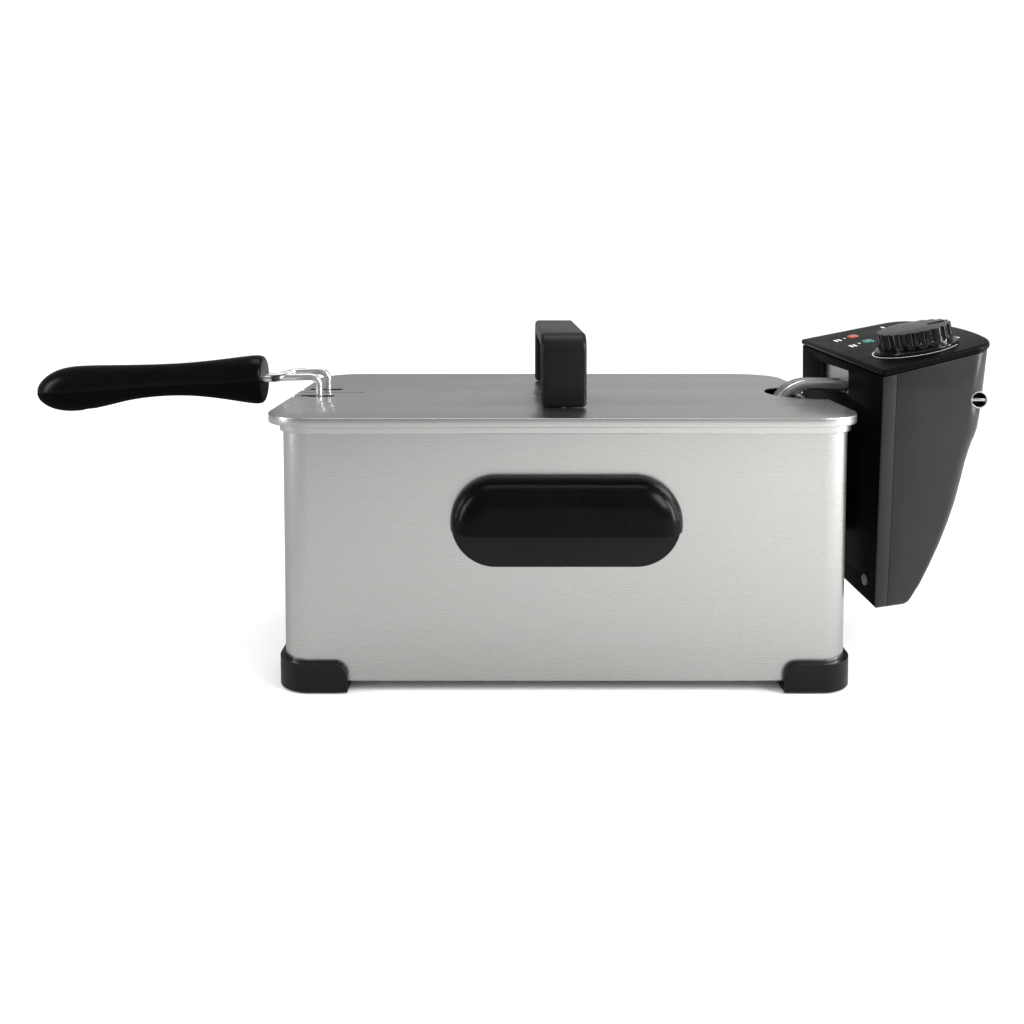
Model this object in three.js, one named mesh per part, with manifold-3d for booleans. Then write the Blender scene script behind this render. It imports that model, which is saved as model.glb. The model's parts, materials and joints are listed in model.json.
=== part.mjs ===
// Cold-zone deep fryer: steel casing, lift-out bowl, heater unit with its control box, basket and lid.
// Millimetres, +Z up, the long side of the casing along X, the control box at +X.
import * as THREE from "three";
import { mergeVertices } from "three/addons/utils/BufferGeometryUtils.js";
import Module from "manifold-3d";

const wasm = await Module();
wasm.setup();

// Driving dimensions. Heights are above the surface that the fryer stands on.
const gap = 0.3;
const casing = { shiftX: 1.4, length: 312.5, width: 192, corner: 16, low: 5.6, top: 149.6, sheet: 1.2, hem: 7 };
const base = { low: 7.1, sheet: 1.2, slots: 6, slotLength: 46, slotWidth: 5, slotPitch: 15 };
const foot = { reach: 37, proud: 3, corner: 19, height: 16.5, low: 1, floor: 5.3, round: 8 };
const pad = { radius: 10, height: 2.4 };
const bowl = { length: 304.5, width: 178, corner: 26, low: 20, sheet: 1.2, round: 14 };
const flange = { shiftX: 1.4, length: 316.3, width: 195.4, corner: 18, low: 143, top: 151.1, sheet: 1.2 };
const lid = { length: 327.4, width: 207, corner: 28, low: 147.4, top: 152.4, sheet: 1 };
const slot = { width: 7, innerX: -139, offset: 15.4 };
const notch = { depth: 30, halfWidth: 31 };
const lidHandle = { shiftX: 1.7, width: 26, halfLength: 67, height: 41.1, crown: 1.6, strap: 9, round: 9 };
const sideHandle = { length: 125.6, height: 50, z: 95, plate: 2.5, depth: 18, lip: 91, wall: 2.4, bossX: 47 };
const rail = { innerX: 156.55, halfWidth: 24, low: 66, top: 132, sheet: 1.5, depth: 13 };
const rivet = { y: 12, z: 118, bore: 2.1 };
const tab = { lowY: 24, highY: 34, reachX: 186.6, low: 98, sheet: 2 };
const unit = { x: 179.1, depth: 73.5, low: 37, wall: 2.5, seamX: 187, topHalf: 77.3, bottomHalf: 71.5 };
const shellScrew = { z: 50, firstY: -57, secondY: -3 };
const panel = { z: 177.8, slopeX: 0.223, slopeY: 0.03, thick: 4, lip: 1 };
const window = { lowY: -20, highY: 34, low: 152.5, high: 168.5 };
const fitting = { capX: 237.2, capZ: 157.3, resetX: 208, resetZ: 112, glandX: 200, glandZ: 64 };
const knob = { x: 35, y: -37, radius: 21, skirt: 23.5, height: 12.3, flutes: 20 };
const lamps = { x: 25, redY: 44.3, greenY: 15.8, width: 6.5, length: 12 };
const basket = { x: -11, length: 256, width: 156, corner: 24, low: 50, top: 137, sheet: 1.5, round: 10 };
const wire = { radius: 2.25, x: -147, y: 15.4, top: 164.5, low: 119, gripX: -213, gripY: 5.5 };
const tube = { radius: 3.25, sensorRadius: 2.75, y: 7, x: 139, high: 157.2, low: 36, bend: 22 };
const grip = { partX: -328, partZ: 152.6, partSlope: 0.0616 };

// ---------- materials ----------
const finish = (color, roughness, metalness) =>
  new THREE.MeshStandardMaterial({ color, roughness, metalness });
const brushedSteel = finish(0xb9b7b2, 0.34, 1);
const plainSteel = finish(0xa9a9a7, 0.42, 1);
const wireSteel = finish(0xc6c6c4, 0.22, 1);
const elementSteel = finish(0x77777a, 0.45, 0.9);
const blackPlastic = finish(0x131314, 0.38, 0);
const darkPlastic = finish(0x1d1d1f, 0.5, 0);
const knobPlastic = finish(0x0c0c0d, 0.22, 0);
const rubber = finish(0x1a1a1a, 0.85, 0);
const redLens = finish(0xd8421c, 0.2, 0);
const greenLens = finish(0x0f8f7c, 0.2, 0);
const lampGlass = finish(0xe0dcd0, 0.1, 0);
const ceramic = finish(0xd8d2c4, 0.6, 0);

// ---------- solids ----------
function toSolid(geometry) {
  const bare = geometry.clone();
  bare.deleteAttribute("normal");
  bare.deleteAttribute("uv");
  const merged = mergeVertices(bare, 1e-3);
  return new wasm.Manifold(
    new wasm.Mesh({
      numProp: 3,
      vertProperties: new Float32Array(merged.attributes.position.array),
      triVerts: new Uint32Array(merged.index.array),
    }),
  );
}

function toGeometry(solid) {
  const mesh = solid.getMesh();
  const geometry = new THREE.BufferGeometry();
  geometry.setAttribute("position", new THREE.BufferAttribute(mesh.vertProperties, 3));
  geometry.setIndex(new THREE.BufferAttribute(mesh.triVerts, 1));
  geometry.computeVertexNormals();
  return geometry;
}

const join = (first, ...rest) => toGeometry(rest.reduce((s, g) => s.add(toSolid(g)), toSolid(first)));
const cut = (first, ...rest) => toGeometry(rest.reduce((s, g) => s.subtract(toSolid(g)), toSolid(first)));
const common = (first, ...rest) =>
  toGeometry(rest.reduce((s, g) => s.intersect(toSolid(g)), toSolid(first)));

// A box from its low corner to its high corner.
function block(lowX, lowY, lowZ, highX, highY, highZ) {
  const geometry = new THREE.BoxGeometry(highX - lowX, highY - lowY, highZ - lowZ);
  return geometry.translate((lowX + highX) / 2, (lowY + highY) / 2, (lowZ + highZ) / 2);
}

// A round bar from one point to another along X, Y or Z.
function bar(axis, radius, from, to, u, v, sides = 16) {
  const geometry = new THREE.CylinderGeometry(radius, radius, to - from, sides);
  const middle = (from + to) / 2;
  if (axis === "x") return geometry.rotateZ(-Math.PI / 2).translate(middle, u, v);
  if (axis === "y") return geometry.translate(u, middle, v);
  return geometry.rotateX(Math.PI / 2).translate(u, v, middle);
}

function roundedRectangle(length, width, corner) {
  const x = length / 2 - corner;
  const y = width / 2 - corner;
  const outline = new THREE.Shape();
  outline.absarc(x, y, corner, 0, Math.PI / 2);
  outline.absarc(-x, y, corner, Math.PI / 2, Math.PI);
  outline.absarc(-x, -y, corner, Math.PI, Math.PI * 1.5);
  outline.absarc(x, -y, corner, Math.PI * 1.5, Math.PI * 2);
  return outline;
}

function prism(outline, low, high, curveSegments = 3) {
  const settings = { depth: high - low, bevelEnabled: false, curveSegments };
  return new THREE.ExtrudeGeometry(outline, settings).translate(0, 0, low);
}

// An outline drawn in Y and Z, extruded along X.
function prismAlongX(outline, low, high, curveSegments = 3) {
  const upright = new THREE.Matrix4().set(0, 0, 1, 0, 1, 0, 0, 0, 0, 1, 0, 0, 0, 0, 0, 1);
  return prism(outline, low, high, curveSegments).applyMatrix4(upright);
}

// An outline drawn in X and Z, extruded along Y.
function prismAlongY(outline, low, high, curveSegments = 3) {
  return prism(outline, -high, -low, curveSegments).rotateX(Math.PI / 2);
}

function ringWall(length, width, corner, sheet, low, high, curveSegments = 3) {
  const outline = roundedRectangle(length, width, corner);
  outline.holes.push(roundedRectangle(length - 2 * sheet, width - 2 * sheet, corner - sheet));
  return prism(outline, low, high, curveSegments);
}

// A tub with upright walls and a rounded bottom edge, solid up to its top.
function tubSolid(length, width, corner, low, high, round) {
  const outline = roundedRectangle(length - 2 * round, width - 2 * round, corner - round);
  const geometry = new THREE.ExtrudeGeometry(outline, {
    depth: high - low,
    bevelSize: round,
    bevelThickness: round,
    bevelSegments: 2,
    curveSegments: 2,
  }).translate(0, 0, low + round);
  return common(geometry, block(-length, -width, low - 1, length, width, high));
}

function tubShell(size, sheet, low, high, round) {
  const outer = tubSolid(size.length, size.width, size.corner, low, high, round);
  const inner = tubSolid(
    size.length - 2 * sheet,
    size.width - 2 * sheet,
    size.corner - sheet,
    low + sheet,
    high + 5,
    round - sheet,
  );
  return cut(outer, inner);
}

// A round tube or wire along a curve.
function tubeAlong(curve, radius, steps, sides) {
  const section = new THREE.Shape();
  for (let i = 0; i < sides; i++) {
    const angle = (i / sides) * 2 * Math.PI;
    const point = [radius * Math.cos(angle), radius * Math.sin(angle)];
    if (i) section.lineTo(...point);
    else section.moveTo(...point);
  }
  section.closePath();
  return new THREE.ExtrudeGeometry(section, { steps, extrudePath: curve, bevelEnabled: false });
}

// Straight runs between points, with each inner point turned into a bend of its own radius.
function bentPath(points, bend) {
  const path = new THREE.CurvePath();
  let from = points[0];
  points.slice(1, -1).forEach((corner, i) => {
    const next = points[i + 2];
    const enter = corner.clone().lerp(from, Math.min(bend / corner.distanceTo(from), 0.5));
    const leave = corner.clone().lerp(next, Math.min(bend / corner.distanceTo(next), 0.5));
    path.add(new THREE.LineCurve3(from, enter));
    path.add(new THREE.QuadraticBezierCurve3(enter, corner, leave));
    from = leave;
  });
  path.add(new THREE.LineCurve3(from, points[points.length - 1]));
  return path;
}

const point = (x, y, z) => new THREE.Vector3(x, y, z);

// ---------- scene graph ----------
const model = new THREE.Group();
const fryer = new THREE.Group();
model.add(fryer);
const casingGroup = new THREE.Group();
casingGroup.position.x = casing.shiftX;
fryer.add(casingGroup);

function place(name, geometry, material, parent = fryer) {
  const mesh = new THREE.Mesh(geometry, material);
  mesh.name = name;
  parent.add(mesh);
  return mesh;
}

// A pan-head screw with its head's top at the origin and its shank along -Z.
function screwShape(headRadius, headHeight, shankRadius, length) {
  const profile = [
    [0, 0],
    [headRadius, -headHeight * 0.35],
    [headRadius, -headHeight],
    [shankRadius, -headHeight],
    [shankRadius, -length],
    [0, -length],
  ].map(([x, y]) => new THREE.Vector2(x, y));
  const body = new THREE.LatheGeometry(profile.reverse(), 10).rotateX(Math.PI / 2);
  const drive = headRadius * 0.55;
  return cut(body, block(-drive, -0.5, -headHeight * 0.6, drive, 0.5, 1));
}

// ---------- casing ----------
function addCasing() {
  const wall = ringWall(casing.length, casing.width, casing.corner, casing.sheet, casing.low, casing.top);
  const hem = ringWall(
    casing.length - casing.sheet,
    casing.width - casing.sheet,
    casing.corner - casing.sheet / 2,
    casing.hem,
    casing.low,
    casing.low + casing.sheet,
  );
  const holes = [];
  for (const side of [-1, 1])
    for (const end of [-1, 1])
      holes.push(
        bar("y", 2.3, side * 96 - 4, side * 96 + 4, end * sideHandle.bossX, sideHandle.z + 8, 8),
      );
  for (const side of [-1, 1]) holes.push(bar("x", rivet.bore, 150, 165, side * rivet.y, rivet.z, 8));
  place("outer_casing", cut(join(wall, hem), ...holes), brushedSteel, casingGroup);

  const plate = roundedRectangle(casing.length - 7, casing.width - 7, casing.corner - 3.5);
  const slots = [];
  for (let i = 0; i < base.slots; i++)
    for (const x of [-70, 70]) {
      const y = (i - (base.slots - 1) / 2) * base.slotPitch - base.slotWidth / 2;
      const half = base.slotLength / 2;
      slots.push(block(x - half, y, 0, x + half, y + base.slotWidth, 20));
    }
  const floor = cut(prism(plate, base.low, base.low + base.sheet, 2), ...slots);
  place("base_plate", floor, plainSteel, casingGroup);
}

// One foot wraps a casing corner; the local origin is that corner, the body towards -X and -Y.
function footShape() {
  const outer = foot.proud;
  const inner = -foot.reach;
  const plan = new THREE.Shape();
  plan.moveTo(inner, inner);
  plan.lineTo(outer, inner);
  plan.lineTo(outer, outer - foot.corner);
  plan.absarc(outer - foot.corner, outer - foot.corner, foot.corner, 0, Math.PI / 2);
  plan.lineTo(inner, outer);
  plan.closePath();
  const side = new THREE.Shape();
  side.moveTo(inner, foot.low);
  side.lineTo(outer - 2, foot.low);
  side.quadraticCurveTo(outer, foot.low, outer, foot.low + 2);
  side.lineTo(outer, foot.height);
  side.lineTo(inner + foot.round, foot.height);
  side.absarc(inner + foot.round, foot.height - foot.round, foot.round, Math.PI / 2, Math.PI);
  side.closePath();
  const blank = common(
    prism(plan, foot.low, foot.height, 3),
    prismAlongY(side, inner - 1, outer + 1, 2),
    prismAlongX(side, inner - 1, outer + 1, 2),
  );
  const wallRadius = casing.corner + gap;
  const casingPlan = new THREE.Shape();
  casingPlan.moveTo(inner - 5, inner - 5);
  casingPlan.lineTo(gap, inner - 5);
  casingPlan.lineTo(gap, gap - wallRadius);
  casingPlan.absarc(gap - wallRadius, gap - wallRadius, wallRadius, 0, Math.PI / 2);
  casingPlan.lineTo(inner - 5, gap);
  casingPlan.closePath();
  const recess = bar("z", pad.radius + 0.4, 0, pad.height + gap, -17, -17, 14);
  return cut(blank, prism(casingPlan, foot.floor, foot.height + 1, 3), recess);
}

function addFeet() {
  const corners = { front_left: [-1, -1], front_right: [1, -1], rear_right: [1, 1], rear_left: [-1, 1] };
  const turns = { front_left: Math.PI, front_right: -Math.PI / 2, rear_right: 0, rear_left: Math.PI / 2 };
  for (const [corner, [x, y]] of Object.entries(corners)) {
    const group = new THREE.Group();
    group.position.set((x * casing.length) / 2, (y * casing.width) / 2, 0);
    group.rotation.z = turns[corner];
    casingGroup.add(group);
    place(`foot_${corner}`, footShape(), blackPlastic, group);
    place(`foot_pad_${corner}`, bar("z", pad.radius, 0, pad.height, -17, -17, 14), rubber, group);
  }
}

// The side handle on the front wall: local Y is outwards, local origin on the casing's surface.
function sideHandleShape() {
  const stadium = (inset) =>
    roundedRectangle(
      sideHandle.length - 2 * inset,
      sideHandle.height - 2 * inset,
      sideHandle.height / 2 - inset - 0.01,
    );
  const dome = (inset) => {
    const round = 15;
    return new THREE.ExtrudeGeometry(stadium(inset + round), {
      depth: 2 * (sideHandle.depth - round - inset),
      bevelSize: round,
      bevelThickness: round,
      bevelSegments: 3,
      curveSegments: 4,
    })
      .translate(0, 0, -(sideHandle.depth - round - inset))
      .rotateX(Math.PI / 2);
  };
  const hood = cut(dome(0), dome(sideHandle.wall));
  const upper = common(hood, block(-80, -40, sideHandle.lip - sideHandle.z, 80, -gap - 1, 40));
  const plate = prismAlongY(stadium(0.3), -gap - sideHandle.plate, -gap, 4);
  const bosses = [-1, 1].map((s) => bar("y", 4, -gap - 12, -gap - 1, s * sideHandle.bossX, 8, 14));
  const bores = [-1, 1].map((s) => bar("y", 1.9, -gap - 10, 1, s * sideHandle.bossX, 8, 10));
  return cut(join(plate, upper, ...bosses), ...bores);
}

function addSideHandles() {
  const inside = casing.sheet + gap;
  const strip = block(-58, inside, -1, 58, inside + 1, 17);
  const holes = [-1, 1].map((s) => bar("y", 2.1, 0, 6, s * sideHandle.bossX, 8, 10));
  for (const [side, turn] of [["front", 0], ["rear", Math.PI]]) {
    const group = new THREE.Group();
    group.position.set(0, (side === "front" ? -1 : 1) * (casing.width / 2), sideHandle.z);
    group.rotation.z = turn;
    casingGroup.add(group);
    place(`side_handle_${side}`, sideHandleShape(), blackPlastic, group);
    place(`handle_strip_${side}`, cut(strip, ...holes), plainSteel, group);
    for (const [end, s] of [["a", -1], ["b", 1]]) {
      const screw = place(`handle_screw_${side}_${end}`, screwShape(3.3, 1.9, 1.5, 12), wireSteel, group);
      screw.position.set(s * sideHandle.bossX, inside + 1 + gap + 1.9, 8);
      screw.rotation.x = -Math.PI / 2;
    }
  }
}

// The channel on the casing's end wall that the control box hangs in, with the tab that closes its switch.
function addRail() {
  const far = rail.innerX + rail.depth;
  const sheet = rail.sheet;
  const plate = block(rail.innerX, -rail.halfWidth, rail.low, rail.innerX + sheet, rail.halfWidth, rail.top);
  const stop = block(rail.innerX, -rail.halfWidth, rail.low, far, rail.halfWidth, rail.low + sheet);
  const pieces = [stop];
  for (const s of [-1, 1]) {
    const edge = s * rail.halfWidth;
    const wallY = [edge, edge - s * sheet].sort((a, b) => a - b);
    const lipY = [edge, edge - s * 10].sort((a, b) => a - b);
    pieces.push(block(rail.innerX, wallY[0], rail.low, far, wallY[1], rail.top));
    pieces.push(block(far - sheet, lipY[0], rail.low, far, lipY[1], rail.top));
  }
  pieces.push(block(far - 6, tab.lowY - 0.5, tab.low, tab.reachX, tab.highY, tab.low + tab.sheet));
  const holes = [-1, 1].map((s) => bar("x", rivet.bore, 150, 165, s * rivet.y, rivet.z, 8));
  place("control_rail", cut(join(plate, ...pieces), ...holes), plainSteel, casingGroup);
  for (const [end, s] of [["a", -1], ["b", 1]]) {
    const pin = place(`rail_rivet_${end}`, rivetShape(), wireSteel, casingGroup);
    pin.position.set(rail.innerX + sheet + gap, s * rivet.y, rivet.z);
    pin.rotation.y = Math.PI / 2;
  }
}

// A rivet with its head above the origin and its shank along -Z.
function rivetShape() {
  const profile = [
    [0, 1],
    [1.8, 0.8],
    [3, 0],
    [1.8, 0],
    [1.8, -3.6],
    [0, -3.6],
  ].map(([x, y]) => new THREE.Vector2(x, y));
  return new THREE.LatheGeometry(profile.reverse(), 8).rotateX(Math.PI / 2);
}

// ---------- bowl ----------
function addBowl() {
  const top = flange.top - flange.sheet / 2;
  const tub = tubShell(bowl, bowl.sheet, bowl.low, top, bowl.round);
  const plate = prism(
    roundedRectangle(flange.length, flange.width, flange.corner),
    flange.top - flange.sheet,
    flange.top,
  ).translate(flange.shiftX, 0, 0);
  const mouth = bowl.sheet / 2;
  const opening = roundedRectangle(bowl.length - 2 * mouth, bowl.width - 2 * mouth, bowl.corner - mouth);
  const brim = cut(plate, prism(opening, flange.low, flange.top + 5));
  const lip = ringWall(flange.length, flange.width, flange.corner, flange.sheet, flange.low, flange.top)
    .translate(flange.shiftX, 0, 0);
  place("oil_bowl", join(tub, brim, lip), plainSteel);
}

// ---------- heater unit ----------
// How far the control box reaches from its flat back, as a fraction of its depth at the top, by height.
const boxReach = new THREE.SplineCurve([
  new THREE.Vector2(37, 0.36),
  new THREE.Vector2(49, 0.483),
  new THREE.Vector2(73, 0.649),
  new THREE.Vector2(97, 0.77),
  new THREE.Vector2(120, 0.845),
  new THREE.Vector2(132, 0.897),
  new THREE.Vector2(140, 0.94),
  new THREE.Vector2(160, 0.972),
  new THREE.Vector2(205, 1.02),
]);

// Plan of the control box at its top, grown or shrunk by an inset: flat back, sides closing in, bowed end.
function boxPlan(inset) {
  const backX = inset;
  const half = unit.topHalf - inset;
  const plan = new THREE.Shape();
  plan.moveTo(backX, -half);
  plan.lineTo(54, -(half - 7.6));
  plan.quadraticCurveTo(66 - inset, -(half - 9.5), 69.5 - inset, -46);
  plan.quadraticCurveTo(77.5 - inset, 0, 69.5 - inset, 46);
  plan.quadraticCurveTo(66 - inset, half - 9.5, 54, half - 7.6);
  plan.lineTo(backX, half);
  plan.closePath();
  return plan;
}

function boxSolid(inset, low) {
  const steps = 9;
  const high = 205;
  const geometry = new THREE.ExtrudeGeometry(boxPlan(inset), {
    steps,
    depth: 1,
    bevelEnabled: false,
    curveSegments: 3,
  });
  const spots = geometry.attributes.position;
  for (let i = 0; i < spots.count; i++) {
    const reach = boxReach.getPoint(spots.getZ(i));
    const z = Math.min(Math.max(reach.x, low), high);
    const half = THREE.MathUtils.lerp(unit.bottomHalf, unit.topHalf, (z - 40) / 130) / unit.topHalf;
    const stretch = (unit.depth * reach.y - 2 * inset) / (unit.depth - 2 * inset);
    const x = inset + (spots.getX(i) - inset) * stretch;
    spots.setXYZ(i, unit.x + x, spots.getY(i) * half, z);
  }
  return geometry;
}

const panelFrame = new THREE.Group();
panelFrame.position.set(unit.x, 0, panel.z);
panelFrame.rotation.set(Math.atan(panel.slopeY), -Math.atan(panel.slopeX), 0);
panelFrame.updateMatrix();

function addControlBox() {
  const aboveTop = block(-60, -120, -panel.thick - gap, 140, 120, 120).applyMatrix4(panelFrame.matrix);
  const shell = cut(boxSolid(0, unit.low), boxSolid(unit.wall, unit.low + unit.wall), aboveTop);

  const opening = block(unit.x - 5, window.lowY, window.low, unit.x + 5, window.highY, window.high);
  const tabSlot = block(unit.x - 5, tab.lowY - 1, unit.low - 2, unit.x + 5, tab.highY + 1.5, tab.low + 3.5);
  const screwYs = [shellScrew.firstY, shellScrew.secondY];
  const screwHoles = screwYs.map((y) => bar("x", 1.9, 170, 200, y, shellScrew.z, 10));
  const rear = common(shell, block(150, -100, 0, unit.seamX, 100, 250));
  place("rear_shell", cut(rear, opening, tabSlot, ...screwHoles), darkPlastic);

  const front = common(shell, block(unit.seamX + gap, -100, 0, 320, 100, 250));
  const bosses = screwYs.map((y) =>
    common(bar("x", 4, unit.seamX + gap, 240, y, shellScrew.z, 12), boxSolid(1, unit.low + 1)),
  );
  const bores = screwYs.map((y) => bar("x", 1.9, 180, 204, y, shellScrew.z, 10));
  const capSocket = common(bar("y", 7, -80, -60, fitting.capX, fitting.capZ, 12), boxSolid(0, unit.low));
  const capHole = bar("y", 5.1, -90, -62.4, fitting.capX, fitting.capZ, 12);
  const resetHole = bar("y", 4.3, 60, 90, fitting.resetX, fitting.resetZ, 12);
  const glandHole = bar("y", 5.9, 60, 90, fitting.glandX, fitting.glandZ, 12);
  const moulded = join(front, ...bosses, capSocket);
  place("front_shell", cut(moulded, ...bores, capHole, resetHole, glandHole), blackPlastic);

  for (const [end, y] of [["a", shellScrew.firstY], ["b", shellScrew.secondY]]) {
    const screw = place(`shell_screw_${end}`, screwShape(3.2, 1.8, 1.5, 20), wireSteel);
    screw.position.set(unit.x - gap - 1.8, y, shellScrew.z);
    screw.rotation.y = -Math.PI / 2;
  }
  addDockingTongue();
  addPanel();
  addBoxFittings();
}

// The block behind the control box that drops into the casing's channel.
function addDockingTongue() {
  const channelX = rail.innerX + casing.shiftX;
  const headX = channelX + 3.8;
  const neckX = channelX + rail.depth - rail.sheet - 0.8;
  const low = rail.low + rail.sheet + gap;
  const head = block(headX, -20, low, neckX, 20, rail.top - 2);
  const neck = block(neckX - 1, -11, low, unit.x - gap, 11, rail.top - 2);
  place("docking_tongue", join(head, neck), darkPlastic);
}

function addPanel() {
  fryer.add(panelFrame);
  const tilt = Math.cos(Math.atan(panel.slopeX));
  const outline = boxPlan(-panel.lip);
  const plate = prism(outline, -panel.thick, 0, 5).scale(1 / tilt, 1, 1);
  const lensHole = (y) =>
    prism(roundedRectangle(lamps.width + 0.7, lamps.length + 0.7, 1.6), -9, 9, 3).translate(lamps.x, y, 0);
  const shaftHole = bar("z", 4.2, -9, 9, knob.x, knob.y, 16);
  const cap = cut(plate, lensHole(lamps.redY), lensHole(lamps.greenY), shaftHole);
  place("top_panel", cap, blackPlastic, panelFrame);

  const lens = () => prism(roundedRectangle(lamps.width, lamps.length, 1.3), -panel.thick, 1.4, 3);
  place("red_lens", lens(), redLens, panelFrame).position.set(lamps.x, lamps.redY, 0);
  place("green_lens", lens(), greenLens, panelFrame).position.set(lamps.x, lamps.greenY, 0);
  const bulbZ = -panel.thick - 1;
  place("red_lamp", bulbShape(), lampGlass, panelFrame).position.set(lamps.x, lamps.redY, bulbZ);
  place("green_lamp", bulbShape(), lampGlass, panelFrame).position.set(lamps.x, lamps.greenY, bulbZ);

  const dial = place("thermostat_knob", knobShape(), knobPlastic, panelFrame);
  dial.position.set(knob.x, knob.y, gap);
  const shaft = cut(bar("z", 3, -20, 8.2, 0, 0, 16), block(1.8, -5, 0, 5, 5, 10));
  place("thermostat_shaft", shaft, plainSteel, panelFrame).position.set(knob.x, knob.y, 0);
  const body = join(block(-15, -13, -24, 15, 13, -9.5), bar("z", 5, -10, -5, 0, 0, 16));
  const bored = cut(body, bar("z", 3.4, -21, 0, 0, 0, 16));
  place("thermostat_body", bored, ceramic, panelFrame).position.set(knob.x, knob.y, 0);
}

// A neon lamp with its dome at the origin, hanging along -Z.
function bulbShape() {
  const profile = [
    [0, 0],
    [1.6, -0.5],
    [2.5, -2],
    [2.5, -11],
    [0, -11],
  ].map(([x, y]) => new THREE.Vector2(x, y));
  return new THREE.LatheGeometry(profile.reverse(), 12).rotateX(Math.PI / 2);
}

// The fluted knob with its skirt and a raised pointer, on a bore for the shaft.
function knobShape() {
  const outline = new THREE.Shape();
  const turns = knob.flutes * 4;
  for (let i = 0; i < turns; i++) {
    const angle = (i / turns) * 2 * Math.PI;
    const radius = knob.radius - (i % 4 < 2 ? 0 : 1.5);
    const spot = [radius * Math.cos(angle), radius * Math.sin(angle)];
    if (i) outline.lineTo(...spot);
    else outline.moveTo(...spot);
  }
  outline.closePath();
  const body = prism(outline, 0.8, knob.height);
  const skirt = bar("z", knob.skirt, 0, 1.8, 0, 0, 28);
  const pointer = block(8, -1, knob.height - 1, 19, 1, knob.height + 0.7);
  return cut(join(skirt, body, pointer), bar("z", 3.4, -1, 8.4, 0, 0, 16));
}

function addBoxFittings() {
  const lowZ = window.low - 2;
  const highZ = window.high - 0.5;
  const plate = block(unit.x + 3, window.lowY + 0.5, lowZ, unit.x + 4.2, window.highY - 0.5, highZ);
  const openings = [-1, 0, 1].map((s) =>
    bar("x", s ? tube.radius + 0.5 : tube.sensorRadius + 0.5, 170, 200, s * tube.y, tube.high, 12),
  );
  place("terminal_plate", cut(plate, ...openings), brushedSteel);

  const cap = cut(
    bar("y", 4.6, -3, 0, 0, 0, 12),
    block(-3.6, -4, -0.5, 3.6, -2.1, 0.5),
  );
  place("slotted_cap", cap, darkPlastic).position.set(fitting.capX, -65.8, fitting.capZ);

  const along = (radius, low, high) => bar("y", radius, low, high, fitting.resetX, fitting.resetZ, 12);
  place("reset_button", join(along(3.8, 66, 72.6), along(5.2, 63.8, 66.2)), redLens);
  const ears = block(fitting.resetX - 9, 52, fitting.resetZ - 3, fitting.resetX + 9, 55, fitting.resetZ + 3);
  place("thermal_cutout", join(along(7, 52, 61), ears), ceramic);

  const ring = (radius, low, high) => bar("y", radius, low, high, fitting.glandX, fitting.glandZ, 12);
  place("cord_gland", cut(join(ring(7.5, 70.1, 72.4), ring(5.4, 58, 70.6)), ring(3.4, 50, 90)), rubber);

  const strip = join(
    block(192, -36, 70, 204, -4, 82),
    ...[-30, -20, -10].map((y) => block(194, y - 3, 81.5, 202, y + 3, 87)),
  );
  place("terminal_block", strip, ceramic);

  const housing = block(182.8, 22, 106, 192, 42, 126);
  const bore = bar("z", 1.9, 100, 118, 186.5, 29, 10);
  place("interlock_switch", cut(housing, bore), darkPlastic);
  place("interlock_plunger", bar("z", 1.5, tab.low + tab.sheet + gap, 113, 186.5, 29, 10), redLens);
}

// The element: one tube, down from the box, four runs along the bowl's floor and back up.
function addElement() {
  const path = bentPath(
    [
      point(199, -tube.y, tube.high),
      point(tube.x, -tube.y, tube.high + 1.5),
      point(tube.x, -tube.y, tube.low),
      point(112, -tube.y - 6, tube.low),
      point(88, -56, tube.low),
      point(-118, -56, tube.low),
      point(-118, -20, tube.low),
      point(72, -20, tube.low),
      point(72, 20, tube.low),
      point(-118, 20, tube.low),
      point(-118, 56, tube.low),
      point(88, 56, tube.low),
      point(112, tube.y + 6, tube.low),
      point(tube.x, tube.y, tube.low),
      point(tube.x, tube.y, tube.high + 1.5),
      point(199, tube.y, tube.high),
    ],
    tube.bend,
  );
  place("heating_element", tubeAlong(path, tube.radius, 116, 6), elementSteel);

  const sensorPath = bentPath(
    [
      point(199, 0, tube.high),
      point(tube.x, 0, tube.high + 1.5),
      point(tube.x, 0, 46),
      point(40, 0, 45),
    ],
    tube.bend,
  );
  place("sensor_tube", tubeAlong(sensorPath, tube.sensorRadius, 30, 6), wireSteel);

  const clamp = block(tube.x - 5.5, -14, 108, tube.x + 5.5, 14, 116);
  const passages = [-1, 0, 1].map((s) =>
    bar("z", s ? tube.radius + 0.4 : tube.sensorRadius + 0.4, 100, 125, tube.x, s * tube.y, 12),
  );
  place("element_clamp", cut(clamp, ...passages), plainSteel);
}

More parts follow.
